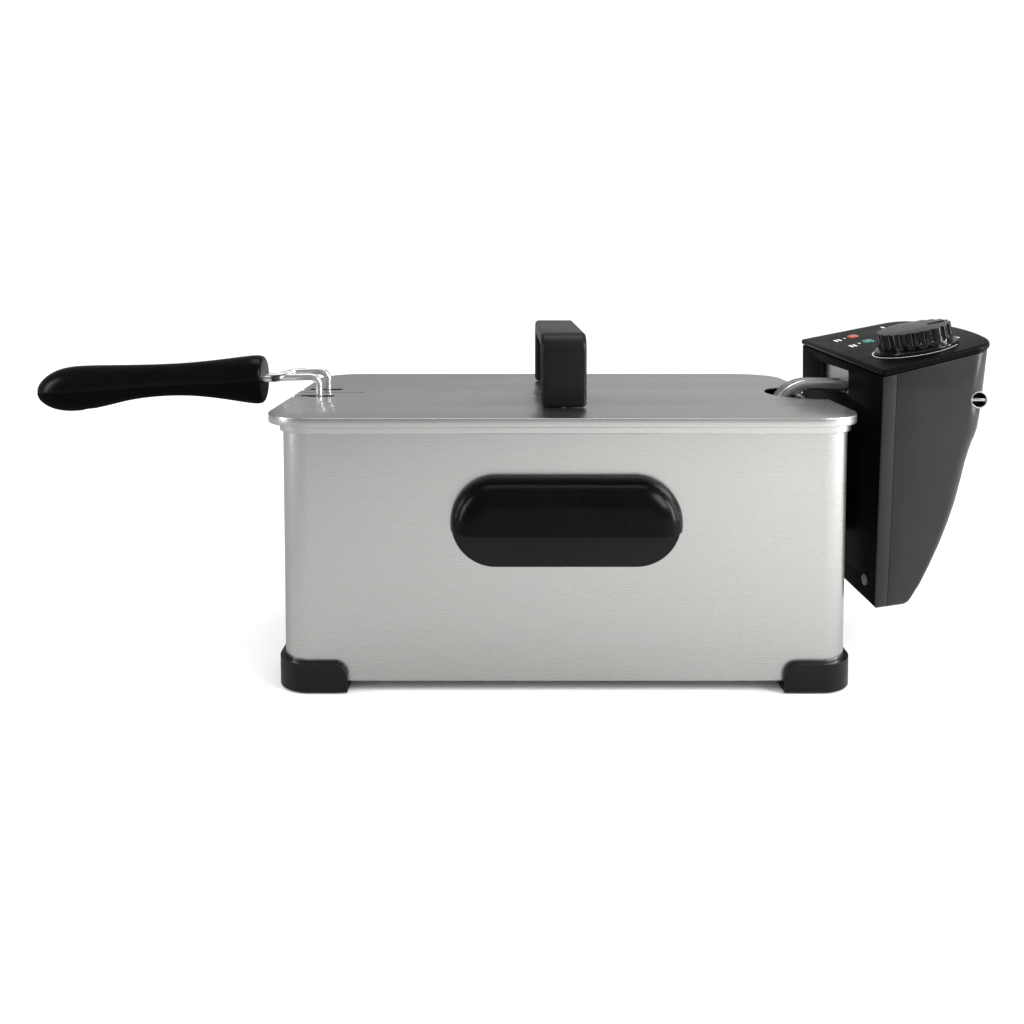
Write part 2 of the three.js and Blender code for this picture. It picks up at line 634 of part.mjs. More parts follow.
// ---------- basket ----------
function addBasket() {
  const group = new THREE.Group();
  group.position.x = basket.x;
  fryer.add(group);
  const tub = tubShell(basket, basket.sheet, basket.low, basket.top, basket.round);
  const splitZ = basket.low + basket.round + 1;
  const tray = common(tub, block(-200, -120, 0, 200, 120, splitZ - gap));
  place("basket_floor", tray, wireSteel, group);
  const { length, width, corner, sheet } = basket;
  const wall = ringWall(length, width, corner, sheet, splitZ, basket.top);
  place("basket_wall", wall, wireSteel, group);
  const rim = ringWall(basket.length + 4, basket.width + 4, basket.corner + 2, 4, 0, 4, 3);
  place("basket_rim", rim, wireSteel, group).position.z = basket.top + gap;

  const right = basket.length / 2 + 2.6;
  const hook = join(
    block(right, -20, 118, right + 1.6, 20, 139),
    block(right, -20, 137.6, right + 12, 20, 139.2),
    block(right + 10.4, -20, 131, right + 12, 20, 139),
  );
  place("basket_hook", hook, plainSteel, group);

  const plate = block(wire.x + 5.2, -21, 118, wire.x + 7.4, 21, 136);
  const sleeves = [-1, 1].flatMap((s) => [
    bar("z", 3.8, 118, 136, wire.x, s * wire.y, 14),
    block(wire.x + 2.8, s * wire.y - 1.4, 118, wire.x + 6, s * wire.y + 1.4, 136),
  ]);
  const bores = [-1, 1].map((s) => bar("z", wire.radius + 0.4, 110, 140, wire.x, s * wire.y, 12));
  place("handle_socket", cut(join(plate, ...sleeves), ...bores), plainSteel);
}

function handleWire(side) {
  const path = bentPath(
    [
      point(wire.x, side * wire.y, wire.low),
      point(wire.x, side * wire.y, wire.top),
      point(-169, side * wire.y, wire.top - 0.6),
      point(-177, side * wire.gripY, wire.top - 2.6),
      point(wire.gripX, side * wire.gripY, wire.top - 3),
    ],
    7,
  );
  return tubeAlong(path, wire.radius, 26, 8);
}

// Stations along the grip from the wires' end to the bulb at its tail: X, middle height, half height.
const gripStations = [
  [-184.4, 160.8, 12.6],
  [-186, 160.8, 15.2],
  [-190, 160.8, 15.8],
  [-202, 161, 14],
  [-218, 161.2, 11.8],
  [-235, 161, 10.3],
  [-252, 160.3, 10.2],
  [-269, 159.1, 11],
  [-284, 157, 13],
  [-298, 155.4, 14.4],
  [-310, 154.6, 14.4],
  [-319.5, 153.9, 11.7],
  [-325.8, 153.2, 7],
  [-328.4, 152.8, 2.6],
];

// The whole grip before it is parted: a round bar whose rings are moved to the stations.
function gripBlank() {
  const round = new THREE.Shape();
  round.absarc(0, 0, 1, 0, Math.PI * 2);
  const geometry = new THREE.ExtrudeGeometry(round, {
    steps: gripStations.length - 1,
    depth: gripStations.length - 1,
    bevelEnabled: false,
    curveSegments: 14,
  });
  const spots = geometry.attributes.position;
  for (let i = 0; i < spots.count; i++) {
    const [x, z, half] = gripStations[Math.round(spots.getZ(i))];
    const width = Math.min(half * 0.6 + 5.2, half * 0.96);
    spots.setXYZ(i, x, -spots.getX(i) * width, z + spots.getY(i) * half);
  }
  return geometry;
}

function addBasketHandle() {
  place("handle_wire_front", handleWire(-1), wireSteel);
  place("handle_wire_rear", handleWire(1), wireSteel);

  const blank = gripBlank();
  const bores = [-1, 1].map((s) =>
    bar("x", wire.radius + 0.6, wire.gripX - 2, -170, s * wire.gripY, wire.top - 2.9, 12),
  );
  const split = (low, high) =>
    block(-30, -40, low, 200, 40, high)
      .rotateY(-Math.atan(grip.partSlope))
      .translate(grip.partX, 0, grip.partZ);
  const screwX = -296;
  const screwHole = bar("z", 2, 100, 163, screwX, 0, 12);
  const headHole = bar("z", 4, 100, 146, screwX, 0, 16);
  place("grip_upper", cut(common(blank, split(gap / 2, 80)), ...bores, screwHole), blackPlastic);
  place("grip_lower", cut(common(blank, split(-80, -gap / 2)), ...bores, screwHole, headHole), darkPlastic);
  const screw = place("grip_screw", screwShape(3.4, 2, 1.6, 18), wireSteel);
  screw.position.set(screwX, 0, 143.6);
  screw.rotation.x = Math.PI;
}

// ---------- lid ----------
function addLid() {
  const body = prism(roundedRectangle(lid.length, lid.width, lid.corner), lid.low, lid.top, 4);
  const rim = 1.2;
  const inner = roundedRectangle(lid.length - 2 * rim, lid.width - 2 * rim, lid.corner - rim);
  const hollow = prism(inner, lid.low - 5, lid.top - lid.sheet, 4);
  const slots = [-1, 1].map((s) => {
    const outline = new THREE.Shape();
    const radius = slot.width / 2;
    outline.absarc(slot.innerX - radius, s * slot.offset, radius, -Math.PI / 2, Math.PI / 2);
    outline.lineTo(-lid.length, s * slot.offset + radius);
    outline.lineTo(-lid.length, s * slot.offset - radius);
    outline.closePath();
    return prism(outline, lid.low - 5, lid.top + 5, 3);
  });
  const throat = new THREE.Shape();
  throat.absellipse(lid.length / 2, 0, notch.depth, notch.halfWidth, Math.PI / 2, Math.PI * 1.5);
  throat.lineTo(lid.length, -notch.halfWidth);
  throat.lineTo(lid.length, notch.halfWidth);
  throat.closePath();
  const screwY = lidHandle.halfLength - lidHandle.strap / 2 - 0.5;
  const holes = [-1, 1].map((s) => bar("z", 2.3, 140, 160, lidHandle.shiftX, s * screwY, 12));
  const plate = cut(body, hollow, ...slots, prism(throat, lid.low - 5, lid.top + 5, 5), ...holes);
  place("lid_plate", plate, brushedSteel);

  const handle = place("lid_handle", lidHandleShape(screwY), blackPlastic);
  handle.position.set(lidHandle.shiftX, 0, lid.top + gap);
  for (const [end, s] of [["front", -1], ["rear", 1]]) {
    const screw = place(`lid_screw_${end}`, screwShape(3.6, 2, 1.7, 14), wireSteel);
    screw.position.set(lidHandle.shiftX, s * screwY, lid.top - lid.sheet - gap - 2);
    screw.rotation.x = Math.PI;
  }
}

// A strap that rises from the lid at the front and rear and runs between them.
function lidHandleShape(screwY) {
  const arch = (half, height, crown, round) => {
    const outline = new THREE.Shape();
    outline.moveTo(-half, 0);
    outline.lineTo(-half, height - round);
    outline.quadraticCurveTo(-half, height, -half + round * 1.4, height + crown * 0.3);
    outline.quadraticCurveTo(0, height + crown * 1.6, half - round * 1.4, height + crown * 0.3);
    outline.quadraticCurveTo(half, height, half, height - round);
    outline.lineTo(half, 0);
    outline.closePath();
    return outline;
  };
  const half = lidHandle.width / 2;
  const outer = prismAlongX(
    arch(lidHandle.halfLength, lidHandle.height, lidHandle.crown, lidHandle.round),
    -half,
    half,
    5,
  );
  const opening = prismAlongX(
    arch(lidHandle.halfLength - lidHandle.strap, lidHandle.height - lidHandle.strap, 1, 6),
    -half - 5,
    half + 5,
    4,
  ).translate(0, 0, -0.01);
  const bores = [-1, 1].map((s) => bar("z", 2.1, -1, 12, 0, s * screwY, 12));
  return cut(outer, opening, ...bores);
}

addCasing();
addFeet();
addSideHandles();
addRail();
addBowl();
addControlBox();
addElement();
addBasket();
addBasketHandle();
addLid();

// The part's origin is the middle of its footprint, on the surface that it stands on.
model.updateMatrixWorld(true);
const extent = new THREE.Box3().setFromObject(fryer);
fryer.position.set(-(extent.min.x + extent.max.x) / 2, -(extent.min.y + extent.max.y) / 2, -extent.min.z);

export default model;
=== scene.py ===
import json
import math
import bpy
import bmesh
from mathutils import Matrix, Vector


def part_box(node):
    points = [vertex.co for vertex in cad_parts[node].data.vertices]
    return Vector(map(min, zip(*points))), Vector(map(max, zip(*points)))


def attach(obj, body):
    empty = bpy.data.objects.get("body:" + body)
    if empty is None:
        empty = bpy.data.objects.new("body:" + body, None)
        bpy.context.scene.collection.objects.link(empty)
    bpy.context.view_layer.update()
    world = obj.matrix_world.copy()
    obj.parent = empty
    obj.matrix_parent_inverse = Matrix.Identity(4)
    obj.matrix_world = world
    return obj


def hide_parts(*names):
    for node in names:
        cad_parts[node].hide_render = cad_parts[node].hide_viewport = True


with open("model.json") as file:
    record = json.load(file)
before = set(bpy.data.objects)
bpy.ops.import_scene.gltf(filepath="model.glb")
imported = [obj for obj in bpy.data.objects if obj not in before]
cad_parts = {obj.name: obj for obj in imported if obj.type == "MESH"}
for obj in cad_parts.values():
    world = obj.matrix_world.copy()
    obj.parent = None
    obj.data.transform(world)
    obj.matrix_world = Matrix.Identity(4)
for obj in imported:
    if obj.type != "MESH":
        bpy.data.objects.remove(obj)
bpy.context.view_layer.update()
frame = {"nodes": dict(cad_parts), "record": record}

mm = 0.001


def boxCentre(node):
    low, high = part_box(node)
    return (Vector(low) + Vector(high)) / 2


# Places below are in millimetres from the middle of the lid, with heights above the worktop.
lidMiddle = boxCentre("lid_plate")
potShift = Vector((lidMiddle.x, lidMiddle.y, 0))


def spot(x, y, z):
    return potShift + Vector((x, y, z)) * mm


def moved(piece, change):
    piece.matrix_world = change
    return settle(piece)


def carried(x, turn=Matrix.Identity(4)):
    # Turns or mirrors about the lid's middle, then slides by x along the length.
    return Matrix.Translation(spot(x, 0, 0)) @ turn @ Matrix.Translation(-spot(0, 0, 0))


def clearSelection():
    if bpy.context.object and bpy.context.object.mode != "OBJECT":
        bpy.ops.object.mode_set(mode="OBJECT")
    bpy.ops.object.select_all(action="DESELECT")


def choose(*pieces):
    clearSelection()
    for piece in pieces:
        piece.select_set(True)
    bpy.context.view_layer.objects.active = pieces[0]


def settle(piece):
    choose(piece)
    bpy.ops.object.transform_apply(location=True, rotation=True, scale=True)
    return piece


def named(name):
    piece = bpy.context.object
    piece.name = name
    piece.data.name = name
    return piece


def openMesh(piece, kind, action="DESELECT"):
    choose(piece)
    bpy.ops.object.mode_set(mode="EDIT")
    bpy.ops.mesh.select_mode(type=kind)
    bpy.ops.mesh.select_all(action=action)
    return bmesh.from_edit_mesh(piece.data)


def closeMesh():
    bpy.ops.object.mode_set(mode="OBJECT")


def pickFaces(piece, test):
    mesh = openMesh(piece, "FACE")
    for face in mesh.faces:
        if test(face.calc_center_median(), face.normal):
            face.select_set(True)
    bmesh.update_edit_mesh(piece.data)


def pickEdges(piece, test):
    mesh = openMesh(piece, "EDGE")
    for edge in mesh.edges:
        if test(edge.verts[0].co, edge.verts[1].co):
            edge.select_set(True)
    bmesh.update_edit_mesh(piece.data)


def bevelPicked(width, segments):
    bpy.ops.mesh.bevel(offset=width * mm, segments=segments, affect="EDGES")
    closeMesh()


def dropPicked(kind="FACE"):
    bpy.ops.mesh.delete(type=kind)
    closeMesh()


def pullPicked(step):
    bpy.ops.mesh.extrude_region_move(TRANSFORM_OT_translate={"value": step})


def mendNormals(piece):
    openMesh(piece, "VERT", "SELECT")
    bpy.ops.mesh.remove_doubles(threshold=0.000002)
    bpy.ops.mesh.normals_make_consistent(inside=False)
    closeMesh()


def useModifier(piece, kind, **settings):
    choose(piece)
    modifier = piece.modifiers.new(kind.title(), kind)
    for setting, value in settings.items():
        setattr(modifier, setting, value)
    bpy.ops.object.modifier_apply(modifier=modifier.name)


def roundEdges(piece, width, segments=3, angle=35):
    useModifier(piece, "BEVEL", width=width * mm, segments=segments, limit_method="ANGLE",
                angle_limit=math.radians(angle), use_clamp_overlap=True)


def thicken(piece, sheet, even=True):
    useModifier(piece, "SOLIDIFY", thickness=sheet * mm, offset=-1, use_even_offset=even)


def cutAway(piece, tool):
    useModifier(piece, "BOOLEAN", object=tool, operation="DIFFERENCE", solver="EXACT")
    bpy.data.objects.remove(tool, do_unlink=True)


def smooth(piece, angle=38):
    choose(piece)
    bpy.ops.object.shade_smooth_by_angle(angle=math.radians(angle))


def copyOf(piece, name):
    choose(piece)
    bpy.ops.object.duplicate()
    return named(name)


def joinPieces(*pieces):
    choose(*pieces)
    bpy.ops.object.join()
    return pieces[0]


def block(name, low, high, corner=0, axis=2, segments=10):
    clearSelection()
    middle = [(a + b) / 2 for a, b in zip(low, high)]
    bpy.ops.mesh.primitive_cube_add(size=1, location=spot(*middle))
    piece = named(name)
    piece.scale = [(b - a) * mm for a, b in zip(low, high)]
    settle(piece)
    if corner:
        bevelAlong(piece, axis, corner, segments)
    return piece


def bevelAlong(piece, axis, corner, segments, test=None):
    def runsAlong(a, b):
        step = b - a
        return abs(step[axis]) > 0.999 * step.length and (test is None or test((a + b) / 2))

    pickEdges(piece, runsAlong)
    bevelPicked(corner, segments)


def rod(name, radius, start, end, sides=24):
    clearSelection()
    start, end = spot(*start), spot(*end)
    bpy.ops.mesh.primitive_cylinder_add(
        vertices=sides, radius=radius * mm, depth=(end - start).length, location=(start + end) / 2)
    piece = named(name)
    piece.rotation_euler = (end - start).to_track_quat("Z", "Y").to_euler()
    return settle(piece)


def outline(name, points, z):
    clearSelection()
    bpy.ops.mesh.primitive_circle_add(vertices=len(points), radius=0.01, fill_type="NGON")
    piece = named(name)
    mesh = openMesh(piece, "VERT")
    mesh.verts.ensure_lookup_table()
    for corner, (x, y) in zip(mesh.verts, points):
        corner.co = spot(x, y, z)
    bmesh.update_edit_mesh(piece.data)
    closeMesh()
    return piece


def bentRod(name, radius, points, bend, sides, steps):
    corners = [spot(*p) for p in points]
    heading = (corners[1] - corners[0]).normalized()
    clearSelection()
    bpy.ops.mesh.primitive_circle_add(vertices=sides, radius=radius * mm, fill_type="NGON",
                                      location=corners[0])
    piece = named(name)
    piece.rotation_euler = heading.to_track_quat("Z", "Y").to_euler()
    settle(piece)
    openMesh(piece, "FACE", "SELECT")
    here = corners[0]
    for i in range(1, len(corners)):
        if i == len(corners) - 1:
            pullPicked(corners[i] - here)
            break
        leaving = (corners[i + 1] - corners[i]).normalized()
        turn = heading.angle(leaving)
        reach = bend * mm * math.tan(turn / 2)
        enter = corners[i] - heading * reach
        pullPicked(enter - here)
        axle = heading.cross(leaving).normalized()
        centre = enter + axle.cross(heading) * bend * mm
        bpy.ops.mesh.spin(steps=steps, angle=-turn, center=centre, axis=axle)
        here = corners[i] + leaving * reach
        heading = leaving
    mendNormals(piece)
    smooth(piece, 50)
    return piece


# Effects that several materials share are node groups.
def newGroup(name, inputs, outputs):
    group = bpy.data.node_groups.new(name, "ShaderNodeTree")
    for socket, value in {"Vector": (0, 0, 0), **inputs}.items():
        kind = "NodeSocketVector" if isinstance(value, tuple) else "NodeSocketFloat"
        group.interface.new_socket(socket, in_out="INPUT", socket_type=kind).default_value = value
    for socket in outputs:
        group.interface.new_socket(socket, in_out="OUTPUT", socket_type="NodeSocketFloat")
    return group, group.nodes.new("NodeGroupInput"), group.nodes.new("NodeGroupOutput")


def isSocket(value):
    return isinstance(value, bpy.types.NodeSocket)


def addNode(tree, kind, inputs=None, **settings):
    node = tree.nodes.new(kind)
    for setting, value in settings.items():
        setattr(node, setting, value)
    for socket, value in (inputs or {}).items():
        if isSocket(value):
            tree.links.new(value, node.inputs[socket])
        else:
            node.inputs[socket].default_value = value
    return node


def noise(tree, place, scale, detail, **inputs):
    inputs = {"Vector": place, "Scale": scale, "Detail": detail, **inputs}
    return addNode(tree, "ShaderNodeTexNoise", inputs).outputs[0]


def maths(tree, first, second, operation="ADD"):
    return addNode(tree, "ShaderNodeMath", {0: first, 1: second}, operation=operation).outputs[0]


def spread(tree, value, low, high, fromLow=0.0, fromHigh=1.0):
    return addNode(tree, "ShaderNodeMapRange", {
        "Value": value, "From Min": fromLow, "From Max": fromHigh, "To Min": low, "To Max": high,
    }).outputs[0]


def makeBrushedGrain():
    group, given, out = newGroup("brushedGrain", {"Stretch": (1, 1, 1)}, ("Lines", "Streaks", "Height"))
    stretched = addNode(group, "ShaderNodeVectorMath",
                        {0: given.outputs["Vector"], 1: given.outputs["Stretch"]}, operation="MULTIPLY")
    fine = noise(group, stretched.outputs[0], 1.0, 3.0, Roughness=0.6)
    broad = noise(group, stretched.outputs[0], 0.11, 2.0)
    group.links.new(spread(group, fine, 0, 1, 0.3, 0.7), out.inputs["Lines"])
    group.links.new(spread(group, broad, 0, 1, 0.35, 0.65), out.inputs["Streaks"])
    group.links.new(fine, out.inputs["Height"])
    return group


def makeHandling():
    group, given, out = newGroup("handling", {"Patch Size": 0.05}, ("Smudge", "Dust"))
    place = given.outputs["Vector"]
    scale = maths(group, 1.0, given.outputs["Patch Size"], "DIVIDE")
    patches = noise(group, place, scale, 4.0, Roughness=0.55, Distortion=0.6)
    specks = noise(group, place, 900.0, 2.0)
    group.links.new(spread(group, patches, 0, 1, 0.38, 0.66), out.inputs["Smudge"])
    group.links.new(spread(group, specks, 0, 1, 0.62, 0.75), out.inputs["Dust"])
    return group


def makeMouldTexture():
    group, given, out = newGroup("mouldTexture", {"Pebble Size": 0.0006}, ("Height", "Mottle"))
    scale = maths(group, 1.0, given.outputs["Pebble Size"], "DIVIDE")
    place = given.outputs["Vector"]
    pebbles = addNode(group, "ShaderNodeTexVoronoi", {"Vector": place, "Scale": scale}, feature="SMOOTH_F1")
    grain = noise(group, place, scale, 3.0)
    group.links.new(maths(group, pebbles.outputs["Distance"], grain), out.inputs["Height"])
    broad = noise(group, place, 60.0, 3.0)
    group.links.new(spread(group, broad, 0, 1, 0.35, 0.65), out.inputs["Mottle"])
    return group


def makeEdgeWear():
    group, given, out = newGroup("edgeWear", {"Width": 0.0006, "Breakup": 0.5}, ("Edge",))
    rounded = addNode(group, "ShaderNodeBevel", {"Radius": given.outputs["Width"]}, samples=4)
    surface = addNode(group, "ShaderNodeNewGeometry")
    match = addNode(group, "ShaderNodeVectorMath",
                    {0: rounded.outputs[0], 1: surface.outputs["Normal"]}, operation="DOT_PRODUCT")
    edge = spread(group, match.outputs["Value"], 1, 0, 0.75, 0.98)
    patchy = noise(group, given.outputs["Vector"], 160.0, 3.0)
    broken = maths(group, edge, maths(group, patchy, given.outputs["Breakup"], "SUBTRACT"))
    limited = addNode(group, "ShaderNodeMath", {0: edge, 1: broken}, operation="MULTIPLY", use_clamp=True)
    group.links.new(limited.outputs[0], out.inputs["Edge"])
    return group


brushedGrain = makeBrushedGrain()
handling = makeHandling()
mouldTexture = makeMouldTexture()
edgeWear = makeEdgeWear()


def newMaterial(name, **shaderValues):
    material = bpy.data.materials.new(name)
    material.use_nodes = True
    tree = material.node_tree
    tree.nodes.clear()
    shader = tree.nodes.new("ShaderNodeBsdfPrincipled")
    finish = tree.nodes.new("ShaderNodeOutputMaterial")
    tree.links.new(shader.outputs[0], finish.inputs[0])
    for socket, value in shaderValues.items():
        shader.inputs[socket.replace("_", " ")].default_value = value
    place = tree.nodes.new("ShaderNodeTexCoord").outputs["Object"]
    return material, tree, shader, place


def useGroup(tree, group, **inputs):
    spaced = {socket.replace("_", " "): value for socket, value in inputs.items()}
    return addNode(tree, "ShaderNodeGroup", spaced, node_tree=group)


def mixColours(tree, factor, first, second):
    first, second = (colour if isSocket(colour) else (*colour, 1) for colour in (first, second))
    node = addNode(tree, "ShaderNodeMix", {0: factor, 6: first, 7: second}, data_type="RGBA")
    return node.outputs[2]


def bumpFrom(tree, shader, height, strength, distance):
    bump = addNode(tree, "ShaderNodeBump",
                   {"Height": height, "Strength": strength, "Distance": distance})
    tree.links.new(bump.outputs[0], shader.inputs["Normal"])


def makeSteel(name, light, dark, stretch, roughness, grainDepth, anisotropic=0.0):
    material, tree, shader, place = newMaterial(name, Metallic=1.0, Anisotropic=anisotropic)
    grain = useGroup(tree, brushedGrain, Vector=place, Stretch=stretch)
    touch = useGroup(tree, handling, Vector=place, Patch_Size=0.07)
    edge = useGroup(tree, edgeWear, Vector=place, Width=0.0005, Breakup=0.45)
    lines = mixColours(tree, grain.outputs["Lines"], dark, light)
    streaked = mixColours(tree, maths(tree, grain.outputs["Streaks"], 0.35, "MULTIPLY"), lines, light)
    worn = mixColours(tree, maths(tree, edge.outputs["Edge"], 0.6, "MULTIPLY"), streaked, (0.9, 0.9, 0.89))
    tree.links.new(worn, shader.inputs["Base Color"])
    low, high = roughness
    rough = maths(tree, spread(tree, grain.outputs["Lines"], low, high),
                  spread(tree, touch.outputs["Smudge"], -0.01, 0.015))
    tree.links.new(rough, shader.inputs["Roughness"])
    bumpFrom(tree, shader, grain.outputs["Height"], 0.25, grainDepth)
    return material


def makePlastic(name, colour, pale, roughness, pebble, depth, gloss=0.3):
    material, tree, shader, place = newMaterial(name, Specular_IOR_Level=gloss)
    moulded = useGroup(tree, mouldTexture, Vector=place, Pebble_Size=pebble)
    touch = useGroup(tree, handling, Vector=place, Patch_Size=0.04)
    edge = useGroup(tree, edgeWear, Vector=place, Width=0.0004, Breakup=0.5)
    mottled = mixColours(tree, moulded.outputs["Mottle"], colour, [c * 1.25 for c in colour])
    dust = maths(tree, touch.outputs["Dust"], 0.012, "MULTIPLY")
    dusty = mixColours(tree, dust, mottled, (0.3, 0.3, 0.3))
    worn = mixColours(tree, maths(tree, edge.outputs["Edge"], 0.5, "MULTIPLY"), dusty, pale)
    tree.links.new(worn, shader.inputs["Base Color"])
    low, high = roughness
    tree.links.new(spread(tree, touch.outputs["Smudge"], low, high), shader.inputs["Roughness"])
    bumpFrom(tree, shader, moulded.outputs["Height"], 0.3, depth)
    return material


def makeLens(name, colour, deep, glow):
    material, tree, shader, place = newMaterial(
        name, Transmission_Weight=0.25, IOR=1.49, Emission_Strength=glow, Coat_Weight=0.6,
        Coat_Roughness=0.06)
    waves = addNode(tree, "ShaderNodeTexWave", {"Vector": place, "Scale": 320.0, "Distortion": 0.4},
                    bands_direction="Y")
    tint = mixColours(tree, waves.outputs["Fac"], deep, colour)
    tree.links.new(tint, shader.inputs["Base Color"])
    tree.links.new(tint, shader.inputs["Emission Color"])
    moulded = useGroup(tree, mouldTexture, Vector=place, Pebble_Size=0.0008)
    tree.links.new(spread(tree, moulded.outputs["Mottle"], 0.18, 0.3), shader.inputs["Roughness"])
    bumpFrom(tree, shader, waves.outputs["Fac"], 0.4, 0.0003)
    return material


steelFinish = {
    "brushed_steel": dict(light=(0.625, 0.62, 0.61), dark=(0.595, 0.59, 0.58), stretch=(9, 3000, 3000),
                          roughness=(0.255, 0.295), grainDepth=0.000002, anisotropic=0.3),
    "plain_steel": dict(light=(0.6, 0.6, 0.6), dark=(0.48, 0.48, 0.48), stretch=(500, 500, 500),
                        roughness=(0.3, 0.42), grainDepth=0.00003),
    "bowl_steel": dict(light=(0.68, 0.68, 0.67), dark=(0.6, 0.6, 0.59), stretch=(12, 900, 900),
                       roughness=(0.2, 0.3), grainDepth=0.00002),
    "wire_steel": dict(light=(0.8, 0.8, 0.8), dark=(0.68, 0.68, 0.69), stretch=(60, 700, 700),
                       roughness=(0.24, 0.32), grainDepth=0.000004),
    "bright_steel": dict(light=(0.85, 0.85, 0.84), dark=(0.75, 0.75, 0.75), stretch=(200, 700, 700),
                         roughness=(0.12, 0.22), grainDepth=0.00001),
    "element_steel": dict(light=(0.3, 0.3, 0.3), dark=(0.22, 0.22, 0.225), stretch=(300, 300, 300),
                          roughness=(0.42, 0.55), grainDepth=0.00004),
}
plasticFinish = {
    "black_plastic": dict(colour=(0.0013, 0.0013, 0.0014), pale=(0.02, 0.02, 0.02), roughness=(0.2, 0.28),
                          pebble=0.0009, depth=0.00001, gloss=0.1),
    "satin_black": dict(colour=(0.0046, 0.0046, 0.005), pale=(0.04, 0.04, 0.04), roughness=(0.32, 0.4),
                        pebble=0.0009, depth=0.00002, gloss=0.2),
    "dark_plastic": dict(colour=(0.0014, 0.0014, 0.0015), pale=(0.02, 0.02, 0.02), roughness=(0.5, 0.6),
                         pebble=0.0007, depth=0.00004, gloss=0.02),
    "panel_plastic": dict(colour=(0.0016, 0.0016, 0.0017), pale=(0.05, 0.05, 0.05), roughness=(0.34, 0.42),
                          pebble=0.0009, depth=0.00002, gloss=0.05),
    "shell_plastic": dict(colour=(0.0075, 0.0075, 0.008), pale=(0.06, 0.06, 0.06), roughness=(0.3, 0.38),
                          pebble=0.0008, depth=0.00003, gloss=0.4),
    "knob_plastic": dict(colour=(0.0016, 0.0016, 0.0018), pale=(0.05, 0.05, 0.05), roughness=(0.14, 0.2),
                         pebble=0.0012, depth=0.00001, gloss=0.4),
    "rubber": dict(colour=(0.012, 0.012, 0.012), pale=(0.04, 0.04, 0.04), roughness=(0.7, 0.85),
                   pebble=0.0006, depth=0.0001),
    "red_plastic": dict(colour=(0.35, 0.02, 0.015), pale=(0.5, 0.12, 0.1), roughness=(0.3, 0.4),
                        pebble=0.0007, depth=0.00004),
    "ceramic": dict(colour=(0.62, 0.59, 0.52), pale=(0.8, 0.78, 0.72), roughness=(0.5, 0.65),
                    pebble=0.0005, depth=0.00008),
    "printed_white": dict(colour=(0.62, 0.62, 0.6), pale=(0.75, 0.75, 0.75), roughness=(0.5, 0.6),
                          pebble=0.0004, depth=0.00002),
}
lensFinish = {  # colour, deeper colour and glow
    "red_lens": ((0.62, 0.1, 0.05), (0.42, 0.05, 0.03), 0.12),
    "green_lens": ((0.005, 0.27, 0.22), (0.003, 0.16, 0.13), 0.12),
    "lamp_glass": ((0.8, 0.78, 0.7), (0.6, 0.58, 0.5), 0.0),
}
finishes = {name: makeSteel(name, **values) for name, values in steelFinish.items()}
finishes.update({name: makePlastic(name, **values) for name, values in plasticFinish.items()})
finishes.update({name: makeLens(name, *values) for name, values in lensFinish.items()})
slotOf = {part["node"]: part["material_slot"] for part in frame["record"]["subparts"]}
print("finishes made:", len(finishes))


def finishPiece(piece, body, slot, *nodes, material=None):
    piece.data.materials.clear()
    piece.data.materials.append(finishes[material or slot])
    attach(piece, body)
    if nodes:
        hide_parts(*nodes)


def secondFinish(piece, material, test):
    piece.data.materials.append(finishes[material])
    pickFaces(piece, test)
    piece.active_material_index = 1
    bpy.ops.object.material_slot_assign()
    closeMesh()


# The casing is an open-topped sheet metal wall with a hem folded in under it.
casing = {"shiftX": 1.4, "length": 312.5, "width": 192, "corner": 16, "low": 5.6, "top": 149.6,
          "sheet": 1.2, "hem": 7, "fold": 1.6}


def isUp(centre, normal):
    return normal.z > 0.9


def isDown(centre, normal):
    return normal.z < -0.9


def makeCasing():
    x, y = casing["length"] / 2, casing["width"] / 2
    wall = block("casingWall", (-x, -y, casing["low"]), (x, y, casing["top"]), casing["corner"], 2, 18)
    pickFaces(wall, isUp)
    dropPicked()
    pickFaces(wall, isDown)
    bpy.ops.mesh.inset(thickness=casing["hem"] * mm)
    dropPicked()
    roundEdges(wall, casing["fold"], 4)
    thicken(wall, casing["sheet"])
    smooth(wall)
    moved(wall, carried(casing["shiftX"]))
    finishPiece(wall, "casing", "brushed_steel", "outer_casing")


makeCasing()

# One corner foot is modelled, and mirrored copies go to all four corners.
foot = {"reach": 37, "proud": 3, "corner": 19, "low": 1, "floor": 5.3, "top": 16.5, "round": 8, "gap": 0.3,
        "padInset": 17, "padRadius": 10.4, "padTop": 2.7, "edge": 0.9}


def makeFoot():
    x, y = casing["length"] / 2, casing["width"] / 2
    outerX, outerY = x + foot["proud"], y + foot["proud"]
    innerX, innerY = x - foot["reach"], y - foot["reach"]
    shoe = block("footCorner", (innerX, innerY, foot["low"]), (outerX, outerY, foot["top"]))
    far = spot(outerX, outerY, 0)
    bevelAlong(shoe, 2, foot["corner"], 14, lambda p: p.x > far.x - mm and p.y > far.y - mm)
    high = foot["top"] * mm
    near = spot(innerX, innerY, 0)
    bevelAlong(shoe, 1, foot["round"], 8, lambda p: p.x < near.x + mm and p.z > high - mm)
    bevelAlong(shoe, 0, foot["round"], 8, lambda p: p.y < near.y + mm and p.z > high - mm)
    grow = foot["gap"]
    cutAway(shoe, block("footTool", (-x - grow, -y - grow, foot["floor"]), (x + grow, y + grow, 60),
                        casing["corner"] + grow, 2, 14))
    padX, padY = x - foot["padInset"], y - foot["padInset"]
    cutAway(shoe, rod("footTool", foot["padRadius"], (padX, padY, 0), (padX, padY, foot["padTop"]), 36))
    roundEdges(shoe, foot["edge"], 3, 40)
    smooth(shoe)
    return shoe


